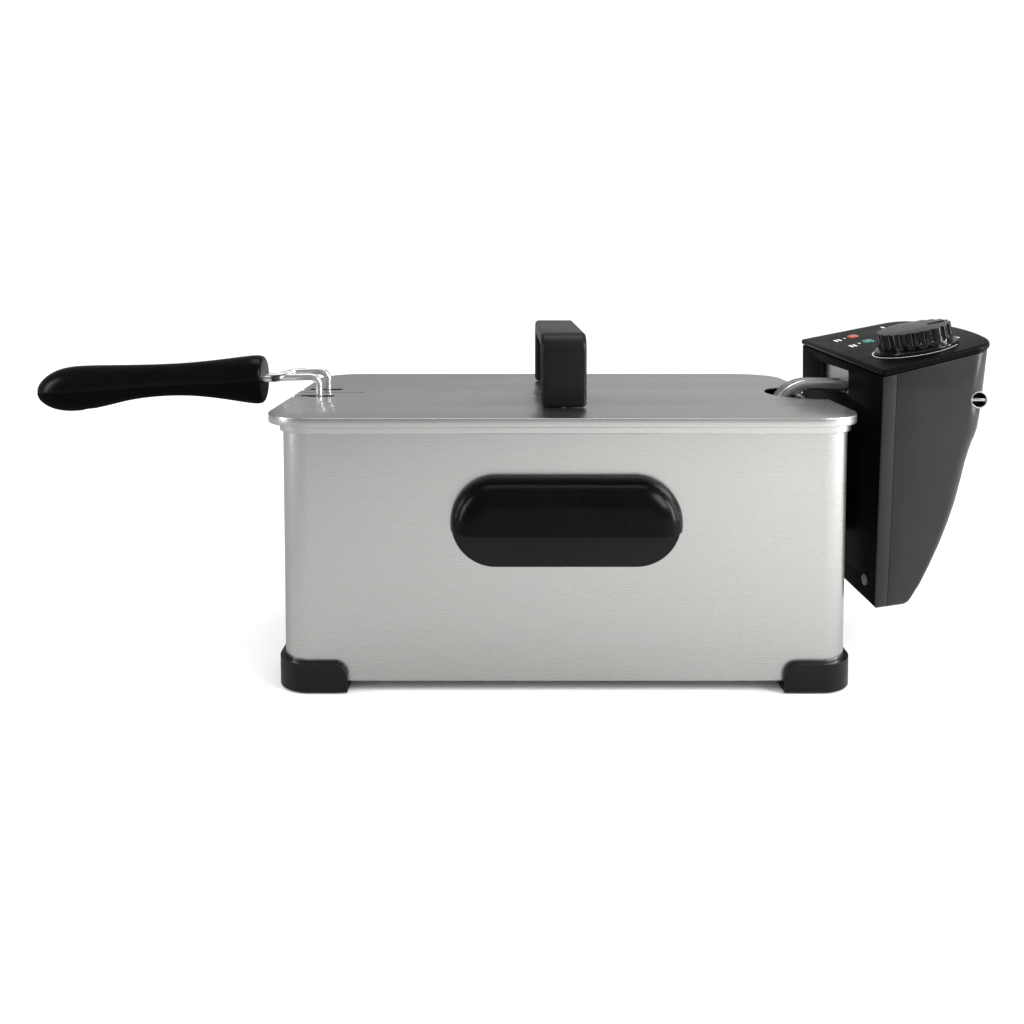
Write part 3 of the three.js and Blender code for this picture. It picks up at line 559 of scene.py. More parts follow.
def makeFeet():
    shoe = makeFoot()
    for name, sideX, sideY in (("front_left", -1, -1), ("front_right", 1, -1), ("rear_left", -1, 1),
                               ("rear_right", 1, 1)):
        copied = copyOf(shoe, "shoe_" + name)
        moved(copied, carried(casing["shiftX"], Matrix.Diagonal((sideX, sideY, 1, 1))))
        if sideX * sideY < 0:
            mendNormals(copied)
        finishPiece(copied, "casing", "black_plastic", "foot_" + name, material="satin_black")
    bpy.data.objects.remove(shoe, do_unlink=True)


makeFeet()

# A side handle is a domed hood, open below, on a flat plate.
sideHandle = {"length": 125.6, "height": 50, "middle": 95, "depth": 18, "dome": 15, "lip": 91, "wall": 2.4,
              "plate": 2.5, "plateInset": 0.4, "gap": 0.3}


def stadium(name, inset, front, back):
    x = sideHandle["length"] / 2 - inset
    z = sideHandle["height"] / 2 - inset
    y = casing["width"] / 2 + sideHandle["gap"]
    low = (-x, -y - front, sideHandle["middle"] - z)
    return block(name, low, (x, -y - back, sideHandle["middle"] + z), z - 0.4, 1, 20)


def makeSideHandle():
    hood = stadium("handleHood", 0, sideHandle["depth"] - sideHandle["gap"], 0)
    frontY = min(v.co.y for v in hood.data.vertices)

    def onFront(a, b):
        return a.y < frontY + 0.1 * mm and b.y < frontY + 0.1 * mm

    pickEdges(hood, onFront)
    bevelPicked(sideHandle["dome"], 12)
    openMesh(hood, "VERT", "SELECT")
    bpy.ops.mesh.bisect(plane_co=(0, 0, sideHandle["lip"] * mm), plane_no=(0, 0, 1), clear_inner=True)
    closeMesh()
    pickFaces(hood, lambda centre, normal: normal.y > 0.9)
    dropPicked()
    thicken(hood, sideHandle["wall"], even=False)
    roundEdges(hood, 0.5, 3, 50)
    smooth(hood, 45)
    plate = stadium("handlePlate", sideHandle["plateInset"], sideHandle["plate"], 0)
    roundEdges(plate, 0.8, 3, 50)
    smooth(plate, 45)
    return joinPieces(hood, plate)


def isPlateFace(centre, normal):
    reach = casing["width"] / 2 + sideHandle["gap"] + sideHandle["plate"] + 0.1
    return abs(normal.y) > 0.9 and abs(centre.y) < reach * mm


def makeSideHandles():
    front = makeSideHandle()
    rear = copyOf(front, "sideGripRear")
    front.name = front.data.name = "sideGripFront"
    moved(front, carried(casing["shiftX"]))
    moved(rear, carried(casing["shiftX"], Matrix.Rotation(math.pi, 4, "Z")))
    for piece, node in ((front, "side_handle_front"), (rear, "side_handle_rear")):
        finishPiece(piece, "casing", "black_plastic", node)
        secondFinish(piece, "satin_black", isPlateFace)


makeSideHandles()
print("casing, feet and side handles made")

# The lift-out bowl hangs from a brim whose lip turns down round the casing.
bowl = {"length": 304.5, "width": 178, "corner": 26, "low": 20, "round": 14, "sheet": 1.2,
        "brimShift": 1.4, "brimLength": 316.3, "brimWidth": 195.4, "brimCorner": 18, "lip": 143, "top": 151.1}


def makeBowl():
    x, y = bowl["length"] / 2, bowl["width"] / 2
    underBrim = bowl["top"] - bowl["sheet"] / 2
    shell = block("oilBowl", (-x, -y, bowl["low"]), (x, y, underBrim), bowl["corner"], 2, 12)
    low = bowl["low"] * mm + 1e-5
    pickEdges(shell, lambda a, b: a.z < low and b.z < low)
    bevelPicked(bowl["round"], 6)
    pickFaces(shell, isUp)
    dropPicked("ONLY_FACE")
    thicken(shell, bowl["sheet"])
    shell = joinPieces(shell, makeBrim(x, y))
    smooth(shell)
    finishPiece(shell, "bowl", "bowl_steel", "oil_bowl")


def makeBrim(mouthX, mouthY):
    x, y, sheet = bowl["brimLength"] / 2, bowl["brimWidth"] / 2, bowl["sheet"]
    shift = bowl["brimShift"]
    brim = block("bowlBrim", (shift - x, -y, bowl["lip"]), (shift + x, y, bowl["top"]),
                 bowl["brimCorner"], 2, 14)
    pickFaces(brim, isDown)
    bpy.ops.mesh.inset(thickness=sheet * mm)
    rise = (bowl["top"] - sheet - bowl["lip"]) * mm
    pullPicked((0, 0, rise))
    mendNormals(brim)
    mouthX, mouthY = mouthX - sheet / 2, mouthY - sheet / 2
    cutAway(brim, block("bowlTool", (-mouthX, -mouthY, 120), (mouthX, mouthY, 170),
                        bowl["corner"] - sheet / 2, 2, 12))
    roundEdges(brim, 0.5, 3, 50)
    return brim


makeBowl()

# The lid is a shallow tray turned over, with slots for the wires and a notch for the heater tubes.
lid = {"length": 327.4, "width": 207, "corner": 28, "low": 147.4, "top": 152.4, "sheet": 1, "rim": 1.2,
       "slotInner": -137.6, "slotHalf": 4.1, "slotOffset": 15.4, "notchDepth": 30, "notchHalf": 31,
       "crease": -121, "creaseShadeHalf": 0.45, "shadeLining": 0.35}
lidHandle = {"shiftX": 1.7, "half": 13, "reach": 67, "foot": 152.7, "top": 194.9, "round": 11, "strap": 9,
             "innerRound": 6, "edge": 2.4}


def makeLid():
    x, y = lid["length"] / 2, lid["width"] / 2
    plate = block("lidSheet", (-x, -y, lid["low"]), (x, y, lid["top"]), lid["corner"], 2, 20)
    pickFaces(plate, isDown)
    bpy.ops.mesh.inset(thickness=lid["rim"] * mm)
    rise = (lid["top"] - lid["sheet"] - lid["low"]) * mm
    pullPicked((0, 0, rise))
    mendNormals(plate)
    tools = []
    half, inner, below, above = lid["slotHalf"], lid["slotInner"], lid["top"] - 12, lid["top"] + 8
    for side in (-1, 1):
        middle = side * lid["slotOffset"]
        tools.append(block("lidTool", (-x - 20, middle - half, below), (inner, middle + half, above),
                           half - 0.02, 2, 8))
    clearSelection()
    bpy.ops.mesh.primitive_cylinder_add(vertices=72, radius=lid["notchHalf"] * mm,
                                        depth=20 * mm, location=spot(x, 0, lid["top"] - 2))
    throat = named("lidTool")
    throat.scale = (lid["notchDepth"] / lid["notchHalf"], 1, 1)
    tools.append(settle(throat))
    for tool in tools:
        cutAway(plate, tool)
    roundEdges(plate, 0.45, 3, 40)
    smooth(plate)
    finishPiece(plate, "lid", "brushed_steel", "lid_plate")


def makeSlotShade():
    # Painted shade: a dark strip inside the two slots stands for the shade on the slot walls, and a thin dark
    # line between them stands for the shade in the fold.
    x, half, inner, wall = lid["length"] / 2, lid["slotHalf"], lid["slotInner"], lid["shadeLining"]
    low, high = lid["top"] - lid["sheet"], lid["top"] - 0.06
    shadeLinings = []
    for side in (-1, 1):
        y = side * lid["slotOffset"]
        shadeLining = block("slotShadeStrip", (2 - x, y - half, low), (inner, y + half, high), half - 0.02, 2, 8)
        cutAway(shadeLining, block("lidTool", (-x - 5, y - half + wall, low - 2),
                              (inner - wall, y + half - wall, high + 2), half - 0.4, 2, 8))
        shadeLinings.append(shadeLining)
    fold = lid["creaseShadeHalf"]
    shadeLinings.append(block("slotShadeStrip", (3 - x, -fold, high), (lid["crease"], fold, high + 0.08), 0.3, 2, 3))
    shadeLining = joinPieces(*shadeLinings)
    smooth(shadeLining)
    # Painted shade: the dark rubber finish on these strips stands for shade in the slots and the fold, not
    # for a real rubber part.
    finishPiece(shadeLining, "lid", "rubber")


def makeLidHandle():
    half, reach, strap = lidHandle["half"], lidHandle["reach"], lidHandle["strap"]
    low, top = lidHandle["foot"], lidHandle["top"]
    strapPiece = block("lidStrap", (-half, -reach, low), (half, reach, top))
    high = top * mm - 1e-5
    bevelAlong(strapPiece, 0, lidHandle["round"], 10, lambda p: p.z > high)
    inside = block("lidTool", (-half - 5, -reach + strap, low - 5), (half + 5, reach - strap, top - strap))
    insideTop = (top - strap) * mm - 1e-5
    bevelAlong(inside, 0, lidHandle["innerRound"], 6, lambda p: p.z > insideTop)
    cutAway(strapPiece, inside)
    roundEdges(strapPiece, lidHandle["edge"], 5, 50)
    smooth(strapPiece)
    moved(strapPiece, carried(lidHandle["shiftX"]))
    finishPiece(strapPiece, "lid", "black_plastic", "lid_handle", material="satin_black")


makeLid()
makeSlotShade()
makeLidHandle()
print("bowl and lid made")

# The control box is a plan outline lofted down through stations, then parted at its seam.
unit = {"x": 179.1, "low": 37, "topHalf": 77.3, "bottomHalf": 71.5, "seam": 187, "wall": 2.4, "gap": 0.3,
        "straight": 54, "side": 66, "bow": 69.5, "bowHalf": 46, "bowRise": 8, "taper": 7.6,
        "bottomRound": 3.2, "backRound": 1.6}
panel = {"z": 177.8, "slopeX": 0.223, "slopeY": 0.03, "thick": 4, "lip": 1}
boxStations = [  # height, and how far the box reaches there as a share of its plan
    (205.0, 1.02), (183.8, 0.998), (160.0, 0.972), (147.7, 0.9557), (140.0, 0.94), (135.5, 0.9198),
    (132.0, 0.897), (126.9, 0.873), (120.0, 0.845), (109.2, 0.8118), (97.0, 0.77), (85.1, 0.7152),
    (73.0, 0.649), (60.2, 0.5661), (49.0, 0.483), (41.5, 0.4111), (37.0, 0.36)]
openings = {"windowLow": (-20, 152.5), "windowHigh": (34, 168.5), "tabLow": (23, 30),
            "tabHigh": (35.5, 101.5), "screwY": (-57, -3), "screwZ": 50, "screwRadius": 1.9,
            "rearHoles": ((4.3, 208, 112), (5.9, 200, 64))}  # radius, x and z of the reset and cord holes
cap = {"x": 237.2, "z": 157.3, "radius": 4.9, "ring": 0.75, "depth": 2.2, "bar": 0.8}
panelFrame = (Matrix.Translation(spot(unit["x"], 0, panel["z"]))
              @ Matrix.Rotation(math.atan(panel["slopeY"]), 4, "X")
              @ Matrix.Rotation(-math.atan(panel["slopeX"]), 4, "Y"))


def arcPoints(start, control, end, steps):
    points = []
    for i in range(1, steps + 1):
        t = i / steps
        points.append(tuple((1 - t) ** 2 * a + 2 * t * (1 - t) * b + t * t * c
                            for a, b, c in zip(start, control, end)))
    return points


def boxPlan(inset, stretch=1.0):
    half, straight, taper = unit["topHalf"] - inset, unit["straight"], unit["taper"]
    side, bow, bowHalf = unit["side"] - inset, unit["bow"] - inset, unit["bowHalf"]
    turnY = half - taper - 1.9
    near = [(inset, -half), (straight / 2, -(half - taper / 2)), (straight, -(half - taper))]
    near += arcPoints(near[-1], (side, -turnY), (bow, -bowHalf), 9)
    middle = arcPoints(near[-1], (bow + unit["bowRise"], 0), (bow, bowHalf), 14)
    far = [(px, -py) for px, py in reversed(near[:-1])]
    return [(px * stretch, py) for px, py in near + middle + far]


def boxLoft(name):
    first = boxStations[0]
    plan = [(unit["x"] + px * first[1], py) for px, py in boxPlan(0)]
    loft = outline(name, plan, first[0])
    openMesh(loft, "FACE", "SELECT")
    z, reach = first
    half = 1.0  # the width there, as a share of the width at the top
    for nextZ, nextReach in boxStations[1:]:
        share = (nextZ - 40) / 130
        nextHalf = (unit["bottomHalf"] + (unit["topHalf"] - unit["bottomHalf"]) * share) / unit["topHalf"]
        pullPicked((0, 0, (nextZ - z) * mm))
        bpy.ops.transform.resize(value=(nextReach / reach, nextHalf / half, 1),
                                 center_override=spot(unit["x"], 0, nextZ))
        z, reach, half = nextZ, nextReach, nextHalf
    mendNormals(loft)
    return loft


def sliceOff(piece, planePoint, planeNormal):
    openMesh(piece, "VERT", "SELECT")
    bpy.ops.mesh.bisect(plane_co=planePoint, plane_no=planeNormal, clear_inner=True)
    closeMesh()


def makeShells():
    loft = boxLoft("boxLoft")
    bottom = (unit["low"] + 0.1) * mm
    pickEdges(loft, lambda a, b: a.z < bottom and b.z < bottom)
    bevelPicked(unit["bottomRound"], 5)
    bevelBack(loft, spot(unit["x"], 0, 0).x + 0.2 * mm)
    down = panelFrame.to_3x3() @ Vector((0, 0, -1))
    underPanel = panelFrame @ Vector((0, 0, -(panel["thick"] + unit["gap"]) * mm))
    sliceOff(loft, underPanel, down)
    rear = copyOf(loft, "rearShell")
    loft.name = loft.data.name = "frontShell"
    seam = unit["seam"]
    sliceOff(rear, spot(seam, 0, 0), (-1, 0, 0))
    sliceOff(loft, spot(seam + unit["gap"], 0, 0), (1, 0, 0))
    for piece in (rear, loft):
        thicken(piece, unit["wall"])
    return rear, loft


def bevelBack(loft, backX):
    def upright(a, b):
        step = b - a
        return a.x < backX and b.x < backX and abs(step.z) > 0.5 * step.length

    pickEdges(loft, upright)
    bevelPicked(unit["backRound"], 3)


def makeControlBox():
    rear, front = makeShells()
    before, behind = unit["x"] - 6, unit["x"] + 6
    cutAway(rear, block("boxTool", (before, *openings["windowLow"]), (behind, *openings["windowHigh"]),
                        2.2, 0, 4))
    cutAway(rear, block("boxTool", (before, *openings["tabLow"]), (behind, *openings["tabHigh"])))
    for y in openings["screwY"]:
        z = openings["screwZ"]
        cutAway(rear, rod("boxTool", openings["screwRadius"], (170, y, z), (200, y, z), 20))
    roundEdges(rear, 0.35, 2, 50)
    smooth(rear, 32)

    x, z = cap["x"], cap["z"]
    cutAway(front, rod("boxTool", cap["radius"] + 0.1, (x, -62, z), (x, -90, z), 40))
    for radius, x, z in openings["rearHoles"]:
        cutAway(front, rod("boxTool", radius, (x, 60, z), (x, 95, z), 28))
    roundEdges(front, 0.35, 2, 50)
    smooth(front, 32)
    finishPiece(rear, "heater_unit", "dark_plastic", "rear_shell")
    # Painted shade: the rear shell is one moulding, but its faces turned left and right keep the darker
    # dark_plastic finish while faces turned front, back and down get the paler shell_plastic finish, a shaded
    # and a lit copy of one plastic.
    secondFinish(rear, "shell_plastic", lambda centre, normal: abs(normal.y) > 0.5 or normal.z < -0.5)
    finishPiece(front, "heater_unit", "black_plastic", "front_shell", material="shell_plastic")


makeControlBox()


# A slotted cap sits flush in the front of the box: a ring with a bar across a dark well.
def makeCap():
    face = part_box("slotted_cap")[0][1] / mm + 1.0
    x, z, radius, inner = cap["x"], cap["z"], cap["radius"], cap["radius"] - cap["ring"]
    ring = rod("capRing", radius, (x, face - 0.2, z), (x, face + 4, z), 48)
    cutAway(ring, rod("capTool", inner, (x, face - 3, z), (x, face + 6, z), 48))
    bar = block("capBar", (x - inner, face + 0.5, z - cap["bar"]), (x + inner, face + 3, z + cap["bar"]))
    ring = joinPieces(ring, bar)
    roundEdges(ring, 0.2, 2, 50)
    smooth(ring)
    well = rod("capWell", inner - 0.05, (x, face + cap["depth"], z), (x, face + 4, z), 48)
    roundEdges(well, 0.3, 2, 50)
    smooth(well)
    finishPiece(ring, "heater_unit", "bright_steel", "slotted_cap", material="plain_steel")
    finishPiece(well, "heater_unit", "dark_plastic")


makeCap()

# The top panel, its lenses, marks and dial are modelled flat and then tilted.
knob = {"x": 35, "y": -37, "radius": 21, "skirt": 23.5, "height": 12.3, "flutes": 20, "fluteTurn": 8.7,
        "fluteRadius": 2.4, "fluteDepth": 1.5}
marks = {"height": 0.06, "ring": 24.4, "ringWidth": 0.7, "ringX": 34.2, "drawnFrom": 2.4, "drawnTo": 5.6,
         "bars": ((12.6, 42.2, 1.4, 8), (15, 42.2, 1.4, 8), (12.5, 11.9, 1.4, 8), (14.9, 11.9, 1.4, 8),
                  (49.2, 53.5, 1.3, 8), (61.6, -31.4, 1.3, 9), (19.2, 44.3, 1.3, 3), (19.2, 15.8, 1.3, 3))}
lamps = {"x": 25, "redY": 44.3, "greenY": 15.8, "width": 5.9, "length": 9, "proud": 0.7}


def onPanel(piece):
    # The piece was modelled about the lid's middle, so it is brought to the origin and then tilted.
    return moved(piece, panelFrame @ Matrix.Translation(-potShift))


def makePanel():
    tilt = math.cos(math.atan(panel["slopeX"]))
    plan = boxPlan(-panel["lip"], 0.996 / tilt)
    plate = outline("panelPlate", plan, -panel["thick"])
    openMesh(plate, "FACE", "SELECT")
    pullPicked((0, 0, panel["thick"] * mm))
    mendNormals(plate)
    roundEdges(plate, 1.7, 6, 50)
    for y in (lamps["redY"], lamps["greenY"]):
        x = lamps["x"]
        halfX, halfY = lamps["width"] / 2 + 0.35, lamps["length"] / 2 + 0.35
        cutAway(plate, block("panelTool", (x - halfX, y - halfY, -9), (x + halfX, y + halfY, 9), 1.6, 2, 5))
    cutAway(plate, rod("panelTool", 4.2, (knob["x"], knob["y"], -9), (knob["x"], knob["y"], 9), 32))
    smooth(plate, 40)
    finishPiece(onPanel(plate), "heater_unit", "black_plastic", "top_panel", material="panel_plastic")


def makeLenses():
    for name, y, node in (("redLensCap", lamps["redY"], "red_lens"),
                          ("greenLensCap", lamps["greenY"], "green_lens")):
        x, half, long = lamps["x"], lamps["width"] / 2, lamps["length"] / 2
        lens = block(name, (x - half, y - long, -panel["thick"]), (x + half, y + long, lamps["proud"]),
                     1.3, 2, 5)
        roundEdges(lens, 0.8, 4, 50)
        smooth(lens, 45)
        finishPiece(onPanel(lens), "heater_unit", node, node)


def makeMarks():
    low, high = -0.02, marks["height"]
    pieces = []
    for x, y, across, long in marks["bars"]:
        pieces.append(block("printedMarks", (x - across / 2, y - long / 2, low),
                            (x + across / 2, y + long / 2, high), 0.3, 2, 3))
    clearSelection()
    middle = spot(marks["ringX"], knob["y"], high)
    bpy.ops.mesh.primitive_circle_add(vertices=120, radius=marks["ring"] * mm, fill_type="NGON",
                                      location=middle)
    ring = named("printedMarks")
    settle(ring)
    pickFaces(ring, lambda centre, normal: True)
    bpy.ops.mesh.inset(thickness=marks["ringWidth"] * mm)
    dropPicked()

    def isGap(centre, normal):
        turn = math.atan2(centre.y - middle.y, centre.x - middle.x) % math.tau
        return not marks["drawnFrom"] < turn < marks["drawnTo"]

    pickFaces(ring, isGap)
    dropPicked()
    thicken(ring, high - low)
    printed = joinPieces(*pieces, ring)
    finishPiece(onPanel(printed), "heater_unit", "printed_white")


def makeDial():
    x, y = knob["x"], knob["y"]
    low, top = 2.0, knob["height"] + 0.3
    skirt = rod("dialSkirt", knob["skirt"], (x, y, 0.3), (x, y, 2.1), 96)
    roundEdges(skirt, 0.5, 3, 50)
    grip = rod("dialGrip", knob["radius"], (x, y, 1.2), (x, y, top), 120)
    flutes = []
    reach = knob["radius"] + knob["fluteRadius"] - knob["fluteDepth"]
    for i in range(knob["flutes"]):
        angle = math.radians(knob["fluteTurn"] + 360 * i / knob["flutes"])
        fx, fy = x + reach * math.cos(angle), y + reach * math.sin(angle)
        flute = rod("dialTool", knob["fluteRadius"], (fx, fy, low + 2), (fx, fy, top + 6), 20)
        roundEdges(flute, knob["fluteRadius"] - 0.3, 5, 50)
        flutes.append(flute)
    cutAway(grip, joinPieces(*flutes))
    roundEdges(grip, 0.45, 3, 40)
    dial = joinPieces(grip, skirt)
    pointer = block("dialPointer", (x + 9, y - 0.9, top - 0.5), (x + 19, y + 0.9, top + 0.4), 0.5, 2, 3)
    dial = joinPieces(dial, pointer)
    dial.name = dial.data.name = "thermostatDial"
    smooth(dial, 40)
    finishPiece(onPanel(dial), "thermostat_dial", "knob_plastic", "thermostat_knob")


makePanel()
makeLenses()
makeMarks()
makeDial()
print("control box, panel and dial made")

# The heating element is one bent tube, with the sensor between its two legs.
element = {"radius": 3.25, "sensor": 2.75, "y": 7, "x": 139, "high": 157.2, "crest": 158.7, "low": 36,
           "bend": 22}


def makeElement():
    y, x, high, crest, low = element["y"], element["x"], element["high"], element["crest"], element["low"]
    near = [(199, -y, high), (x, -y, crest), (x, -y, low), (112, -y - 6, low), (88, -56, low),
            (-118, -56, low), (-118, -20, low), (72, -20, low)]
    route = near + [(px, -py, pz) for px, py, pz in reversed(near)]
    tube = bentRod("heatingTube", element["radius"], route, element["bend"], 12, 9)
    finishPiece(tube, "heater_unit", "element_steel", "heating_element")
    probe = bentRod("sensorTube", element["sensor"],
                    [(199, 0, high), (x, 0, crest), (x, 0, 46), (40, 0, 45)], element["bend"], 12, 9)
    finishPiece(probe, "heater_unit", "wire_steel", "sensor_tube")


makeElement()

# Two wires come up through the lid's slots and run together into the grip.
wire = {"radius": 2.25, "x": -147, "y": 15.4, "top": 164.5, "low": 119, "gripX": -213, "gripY": 5.5,
        "bend": 5.5}
gripStations = [  # x, height and half thickness
    (-184.4, 160.8, 12.6), (-184.9, 160.8, 14.2), (-186, 160.8, 15.2), (-190, 160.8, 15.8), (-202, 161, 14),
    (-218, 161.2, 11.8), (-235, 161, 10.3), (-252, 160.3, 10.2), (-269, 159.1, 11), (-284, 157, 13),
    (-298, 155.4, 14.4), (-310, 154.6, 14.4), (-319.5, 153.9, 11.7), (-325.8, 153.2, 7), (-328.2, 152.8, 3.2)]
parting = {"x": -328, "z": 152.6, "slope": 0.0616, "gap": 0.25, "screwX": -296, "screwRadius": 4}


def makeHandleWires():
    for name, side, node in (("handleWireNear", -1, "handle_wire_front"),
                             ("handleWireFar", 1, "handle_wire_rear")):
        y, gripY, top = side * wire["y"], side * wire["gripY"], wire["top"]
        route = [(wire["x"], y, wire["low"]), (wire["x"], y, top), (-169, y, top - 0.6),
                 (-177, gripY, top - 2.6), (wire["gripX"], gripY, top - 3)]
        bent = bentRod(name, wire["radius"], route, wire["bend"], 16, 8)
        finishPiece(bent, "basket_handle", "wire_steel", node)


def gripWidth(half):
    # The grip is flatter from side to side than it is tall.
    return min(half * 0.6 + 5.2, half * 0.96)


def makeGrip():
    x, z, half = gripStations[0]
    clearSelection()
    bpy.ops.mesh.primitive_circle_add(vertices=32, radius=mm, fill_type="NGON", location=spot(x, 0, z))
    grip = named("gripWhole")
    grip.rotation_euler = (0, math.pi / 2, 0)
    grip.scale = (half, gripWidth(half), 1)
    settle(grip)
    openMesh(grip, "FACE", "SELECT")
    for nextX, nextZ, nextHalf in gripStations[1:]:
        step = spot(nextX, 0, nextZ) - spot(x, 0, z)
        pullPicked(step)
        bpy.ops.transform.resize(value=(1, gripWidth(nextHalf) / gripWidth(half), nextHalf / half),
                                 center_override=spot(nextX, 0, nextZ))
        x, z, half = nextX, nextZ, nextHalf
    mendNormals(grip)
    useModifier(grip, "SUBSURF", levels=2, render_levels=2)
    return grip


def makeGripHalves():
    whole = makeGrip()
    lower = copyOf(whole, "gripLower")
    whole.name = whole.data.name = "gripUpper"
    tilt = math.atan(parting["slope"])
    along = Vector((-math.sin(tilt), 0, math.cos(tilt)))
    middle = spot(parting["x"], 0, parting["z"])
    for piece, side in ((whole, 1), (lower, -1)):
        openMesh(piece, "VERT", "SELECT")
        bpy.ops.mesh.bisect(plane_co=middle + along * side * parting["gap"] / 2 * mm, plane_no=along * side,
                            clear_inner=True, use_fill=True)
        mendNormals(piece)
        for near in (-1, 1):
            y = near * wire["gripY"]
            cutAway(piece, rod("gripTool", wire["radius"] + 0.4, (-170, y, wire["top"] - 2.8),
                               (-215, y, wire["top"] - 2.9), 20))
    screwX = parting["screwX"]
    cutAway(lower, rod("gripTool", parting["screwRadius"], (screwX, 0, 100), (screwX, 0, 146), 24))
    for piece in (whole, lower):
        roundEdges(piece, 0.35, 2, 55)
        smooth(piece, 50)
    finishPiece(whole, "basket_handle", "black_plastic", "grip_upper")
    finishPiece(lower, "basket_handle", "dark_plastic", "grip_lower")


makeHandleWires()
makeGripHalves()
print("basket handle made")

# The basket is a wire mesh tub with a round rim.
basket = {"x": -11, "length": 256, "width": 156, "corner": 24, "low": 50, "top": 137, "round": 10,
          "inset": 0.8, "pitch": 7.2, "wire": 1.3, "rim": 139.3, "rimWire": 2.0}


def makeBasket():
    x, y = basket["length"] / 2 - basket["inset"], basket["width"] / 2 - basket["inset"]
    middle, low, top, pitch = basket["x"], basket["low"], basket["top"], basket["pitch"]
    floor = low + 0.7
    tub = block("basketMesh", (middle - x, -y, floor), (middle + x, y, top), basket["corner"], 2, 5)
    nearFloor = floor * mm + 1e-5
    pickEdges(tub, lambda a, b: a.z < nearFloor and b.z < nearFloor)
    bevelPicked(basket["round"], 3)
    pickFaces(tub, isUp)
    dropPicked("ONLY_FACE")
    openMesh(tub, "VERT")
    cuts = [((1, 0, 0), middle - x, 2 * x), ((0, 1, 0), -y, 2 * y), ((0, 0, 1), low, top - low)]
    for normal, start, length in cuts:
        count = round(length / pitch)
        for i in range(1, count):
            bpy.ops.mesh.select_all(action="SELECT")
            away = start + length * i / count
            bpy.ops.mesh.bisect(plane_co=spot(*(n * away for n in normal)), plane_no=normal)
    closeMesh()
    useModifier(tub, "WIREFRAME", thickness=basket["wire"] * mm, offset=0, use_even_offset=False,
                use_boundary=True, use_replace=True)
    smooth(tub, 60)
    finishPiece(tub, "basket", "wire_steel", "basket_wall", "basket_floor")


def makeRim():
    x, y = basket["length"] / 2, basket["width"] / 2
    middle, z, corner = basket["x"], basket["rim"], basket["corner"]
    ring = block("basketRim", (middle - x, -y, z), (middle + x, y, z + 1), corner, 2, 8)
    pickFaces(ring, isUp)
    bpy.ops.mesh.select_all(action="INVERT")
    dropPicked()
    openMesh(ring, "FACE", "SELECT")
    dropPicked("ONLY_FACE")
    choose(ring)
    bpy.ops.object.convert(target="CURVE")
    ring.data.bevel_depth = basket["rimWire"] * mm
    ring.data.bevel_resolution = 4
    bpy.ops.object.convert(target="MESH")
    mendNormals(ring)
    smooth(ring, 60)
    finishPiece(ring, "basket", "wire_steel", "basket_rim")


makeBasket()
makeRim()
print("basket made")

# CAD pieces that stay get the finish of their slot, and the box's two screws a duller one.
slotOf.update(shell_screw_a="element_steel", shell_screw_b="element_steel")
for node, piece in frame["nodes"].items():
    piece.data.materials.clear()
    piece.data.materials.append(finishes[slotOf[node]])

# Pale floor, a camera in front and slightly above, and soft boxes of light.
studio = {"cameraPlace": (-30.14, -631.4, 237.4), "pitch": 3.41, "lens": 35.156,
          "shiftX": 0.0039, "shiftY": -0.1894, "backdrop": 0.6, "front": 0.5, "daylight": 1.2,
          "floorLeft": (0.33, 0.33, 0.33), "floorRight": (0.56, 0.558, 0.553)}
lights = {  # place, target, size and power
    "rightBox": ((1.2, -0.75, 0.95), (0.05, 0, 0.1), (0.45, 0.8), 17),
    "leftBox": ((-1.5, -0.5, 0.8), (0.0, 0, 0.1), (0.3, 0.9), 5),
    "rightStrip": ((1.45, -0.3, 0.25), (0.16, -0.08, 0.1), (0.14, 1.1), 15),
    "leftStrip": ((-1.5, -0.4, 0.25), (-0.16, -0.08, 0.1), (0.1, 1.1), 5),
    "topBox": ((0.0, 0.2, 1.7), (0, 0, 0), (1.2, 0.8), 8),
}


def makeFloor():
    clearSelection()
    bpy.ops.mesh.primitive_plane_add(size=8, location=(0, 0, 0))
    floor = named("studioFloor")
    settle(floor)
    material, tree, shader, place = newMaterial("floorPaper", Specular_IOR_Level=0.1)
    grain = noise(tree, place, 400.0, 2.0)
    paper = mixColours(tree, grain, (0.9, 0.9, 0.9), (0.92, 0.92, 0.92))
    # Painted reflection: glossy rays see a dimmer floor, darker on the left and brighter on the right, so the
    # metal mirrors a room lit more from the right.
    across = addNode(tree, "ShaderNodeSeparateXYZ", {0: place}).outputs["X"]
    share = spread(tree, across, 0, 1, -0.35, 0.35)
    dimmed = mixColours(tree, share, studio["floorLeft"], studio["floorRight"])  # only metal mirrors this
    seen = addNode(tree, "ShaderNodeLightPath")
    colour = mixColours(tree, seen.outputs["Is Glossy Ray"], paper, dimmed)
    tree.links.new(colour, shader.inputs["Base Color"])
    tree.links.new(spread(tree, grain, 0.8, 0.95), shader.inputs["Roughness"])
    floor.data.materials.append(material)


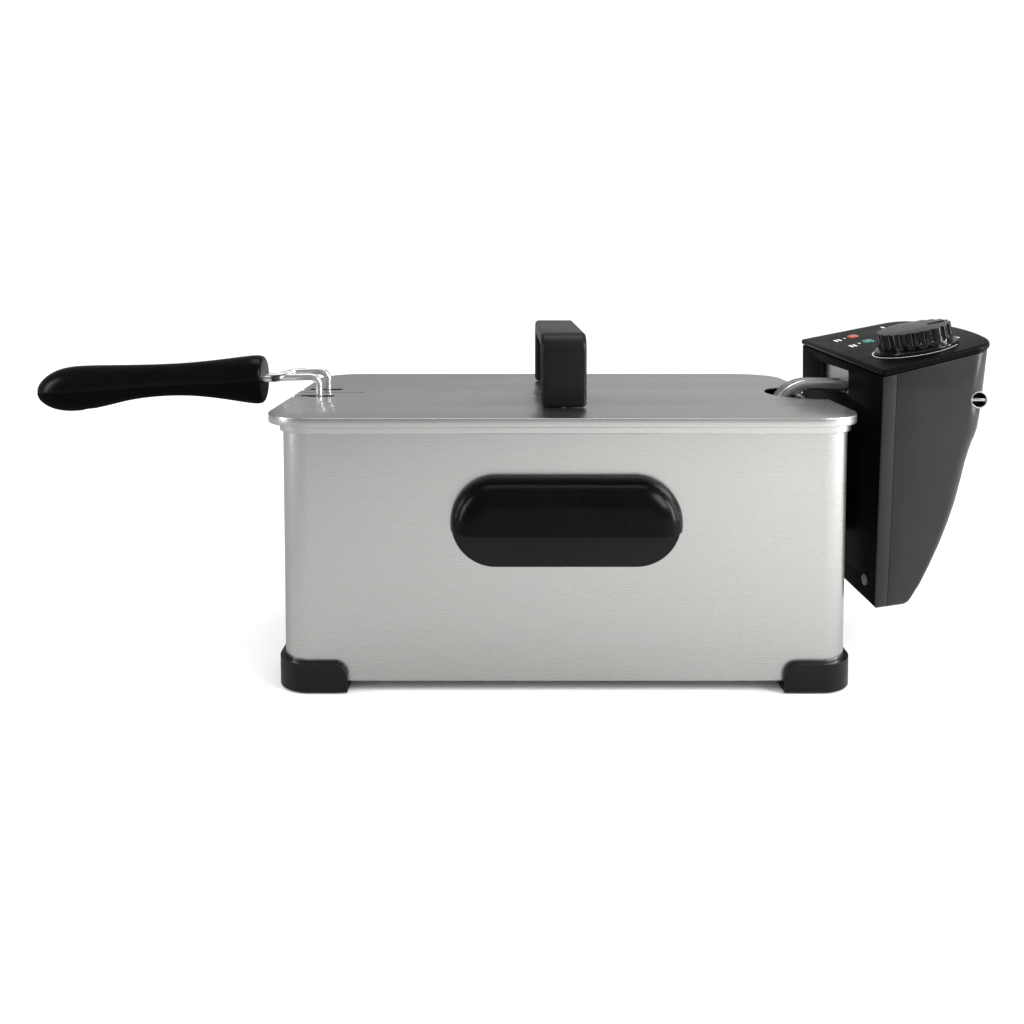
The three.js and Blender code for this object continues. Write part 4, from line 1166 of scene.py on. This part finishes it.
def makeCamera():
    camera = bpy.data.cameras.new("studioCamera")
    holder = bpy.data.objects.new("studioCamera", camera)
    bpy.context.scene.collection.objects.link(holder)
    holder.location = spot(*studio["cameraPlace"])
    holder.rotation_euler = (math.radians(90 - studio["pitch"]), 0, 0)
    camera.lens = studio["lens"]
    camera.sensor_width = 36
    camera.shift_x = studio["shiftX"]
    camera.shift_y = studio["shiftY"]
    camera.clip_start = 0.01
    bpy.context.scene.camera = holder


def areaLight(name, place, target, size, power):
    lamp = bpy.data.lights.new(name, "AREA")
    lamp.shape = "RECTANGLE"
    lamp.size, lamp.size_y = size
    lamp.energy = power
    holder = bpy.data.objects.new(name, lamp)
    bpy.context.scene.collection.objects.link(holder)
    holder.location = place
    holder.rotation_euler = (Vector(target) - Vector(place)).to_track_quat("-Z", "Y").to_euler()


def makeWorld():
    world = bpy.data.worlds.new("studioWorld")
    world.use_nodes = True
    bpy.context.scene.world = world
    tree = world.node_tree
    tree.nodes.clear()
    # What gloss mirrors is dimmer and brightens to the right; all else sees plain white.
    facing = addNode(tree, "ShaderNodeSeparateXYZ",
                     {0: addNode(tree, "ShaderNodeTexCoord").outputs["Generated"]})
    leftRight = spread(tree, facing.outputs["X"], 0.62, 1.25, -0.5, 0.7)
    backFront = spread(tree, facing.outputs["Y"], studio["front"], studio["backdrop"], -1, 1)
    level = maths(tree, leftRight, backFront, "MULTIPLY")
    seen = addNode(tree, "ShaderNodeLightPath")
    room = addNode(tree, "ShaderNodeBackground", {"Strength": level})
    paper = addNode(tree, "ShaderNodeBackground", {"Color": (1, 1, 1, 1), "Strength": studio["daylight"]})
    plain = maths(tree, seen.outputs["Is Camera Ray"], seen.outputs["Is Diffuse Ray"], "MAXIMUM")
    both = addNode(tree, "ShaderNodeMixShader", {0: plain, 1: room.outputs[0], 2: paper.outputs[0]})
    out = addNode(tree, "ShaderNodeOutputWorld")
    tree.links.new(both.outputs[0], out.inputs[0])


makeFloor()
makeCamera()
makeWorld()
for name, values in lights.items():
    areaLight(name, *values)
scene = bpy.context.scene
scene.view_settings.view_transform = "Standard"
scene.view_settings.look = "None"
print("studio made")
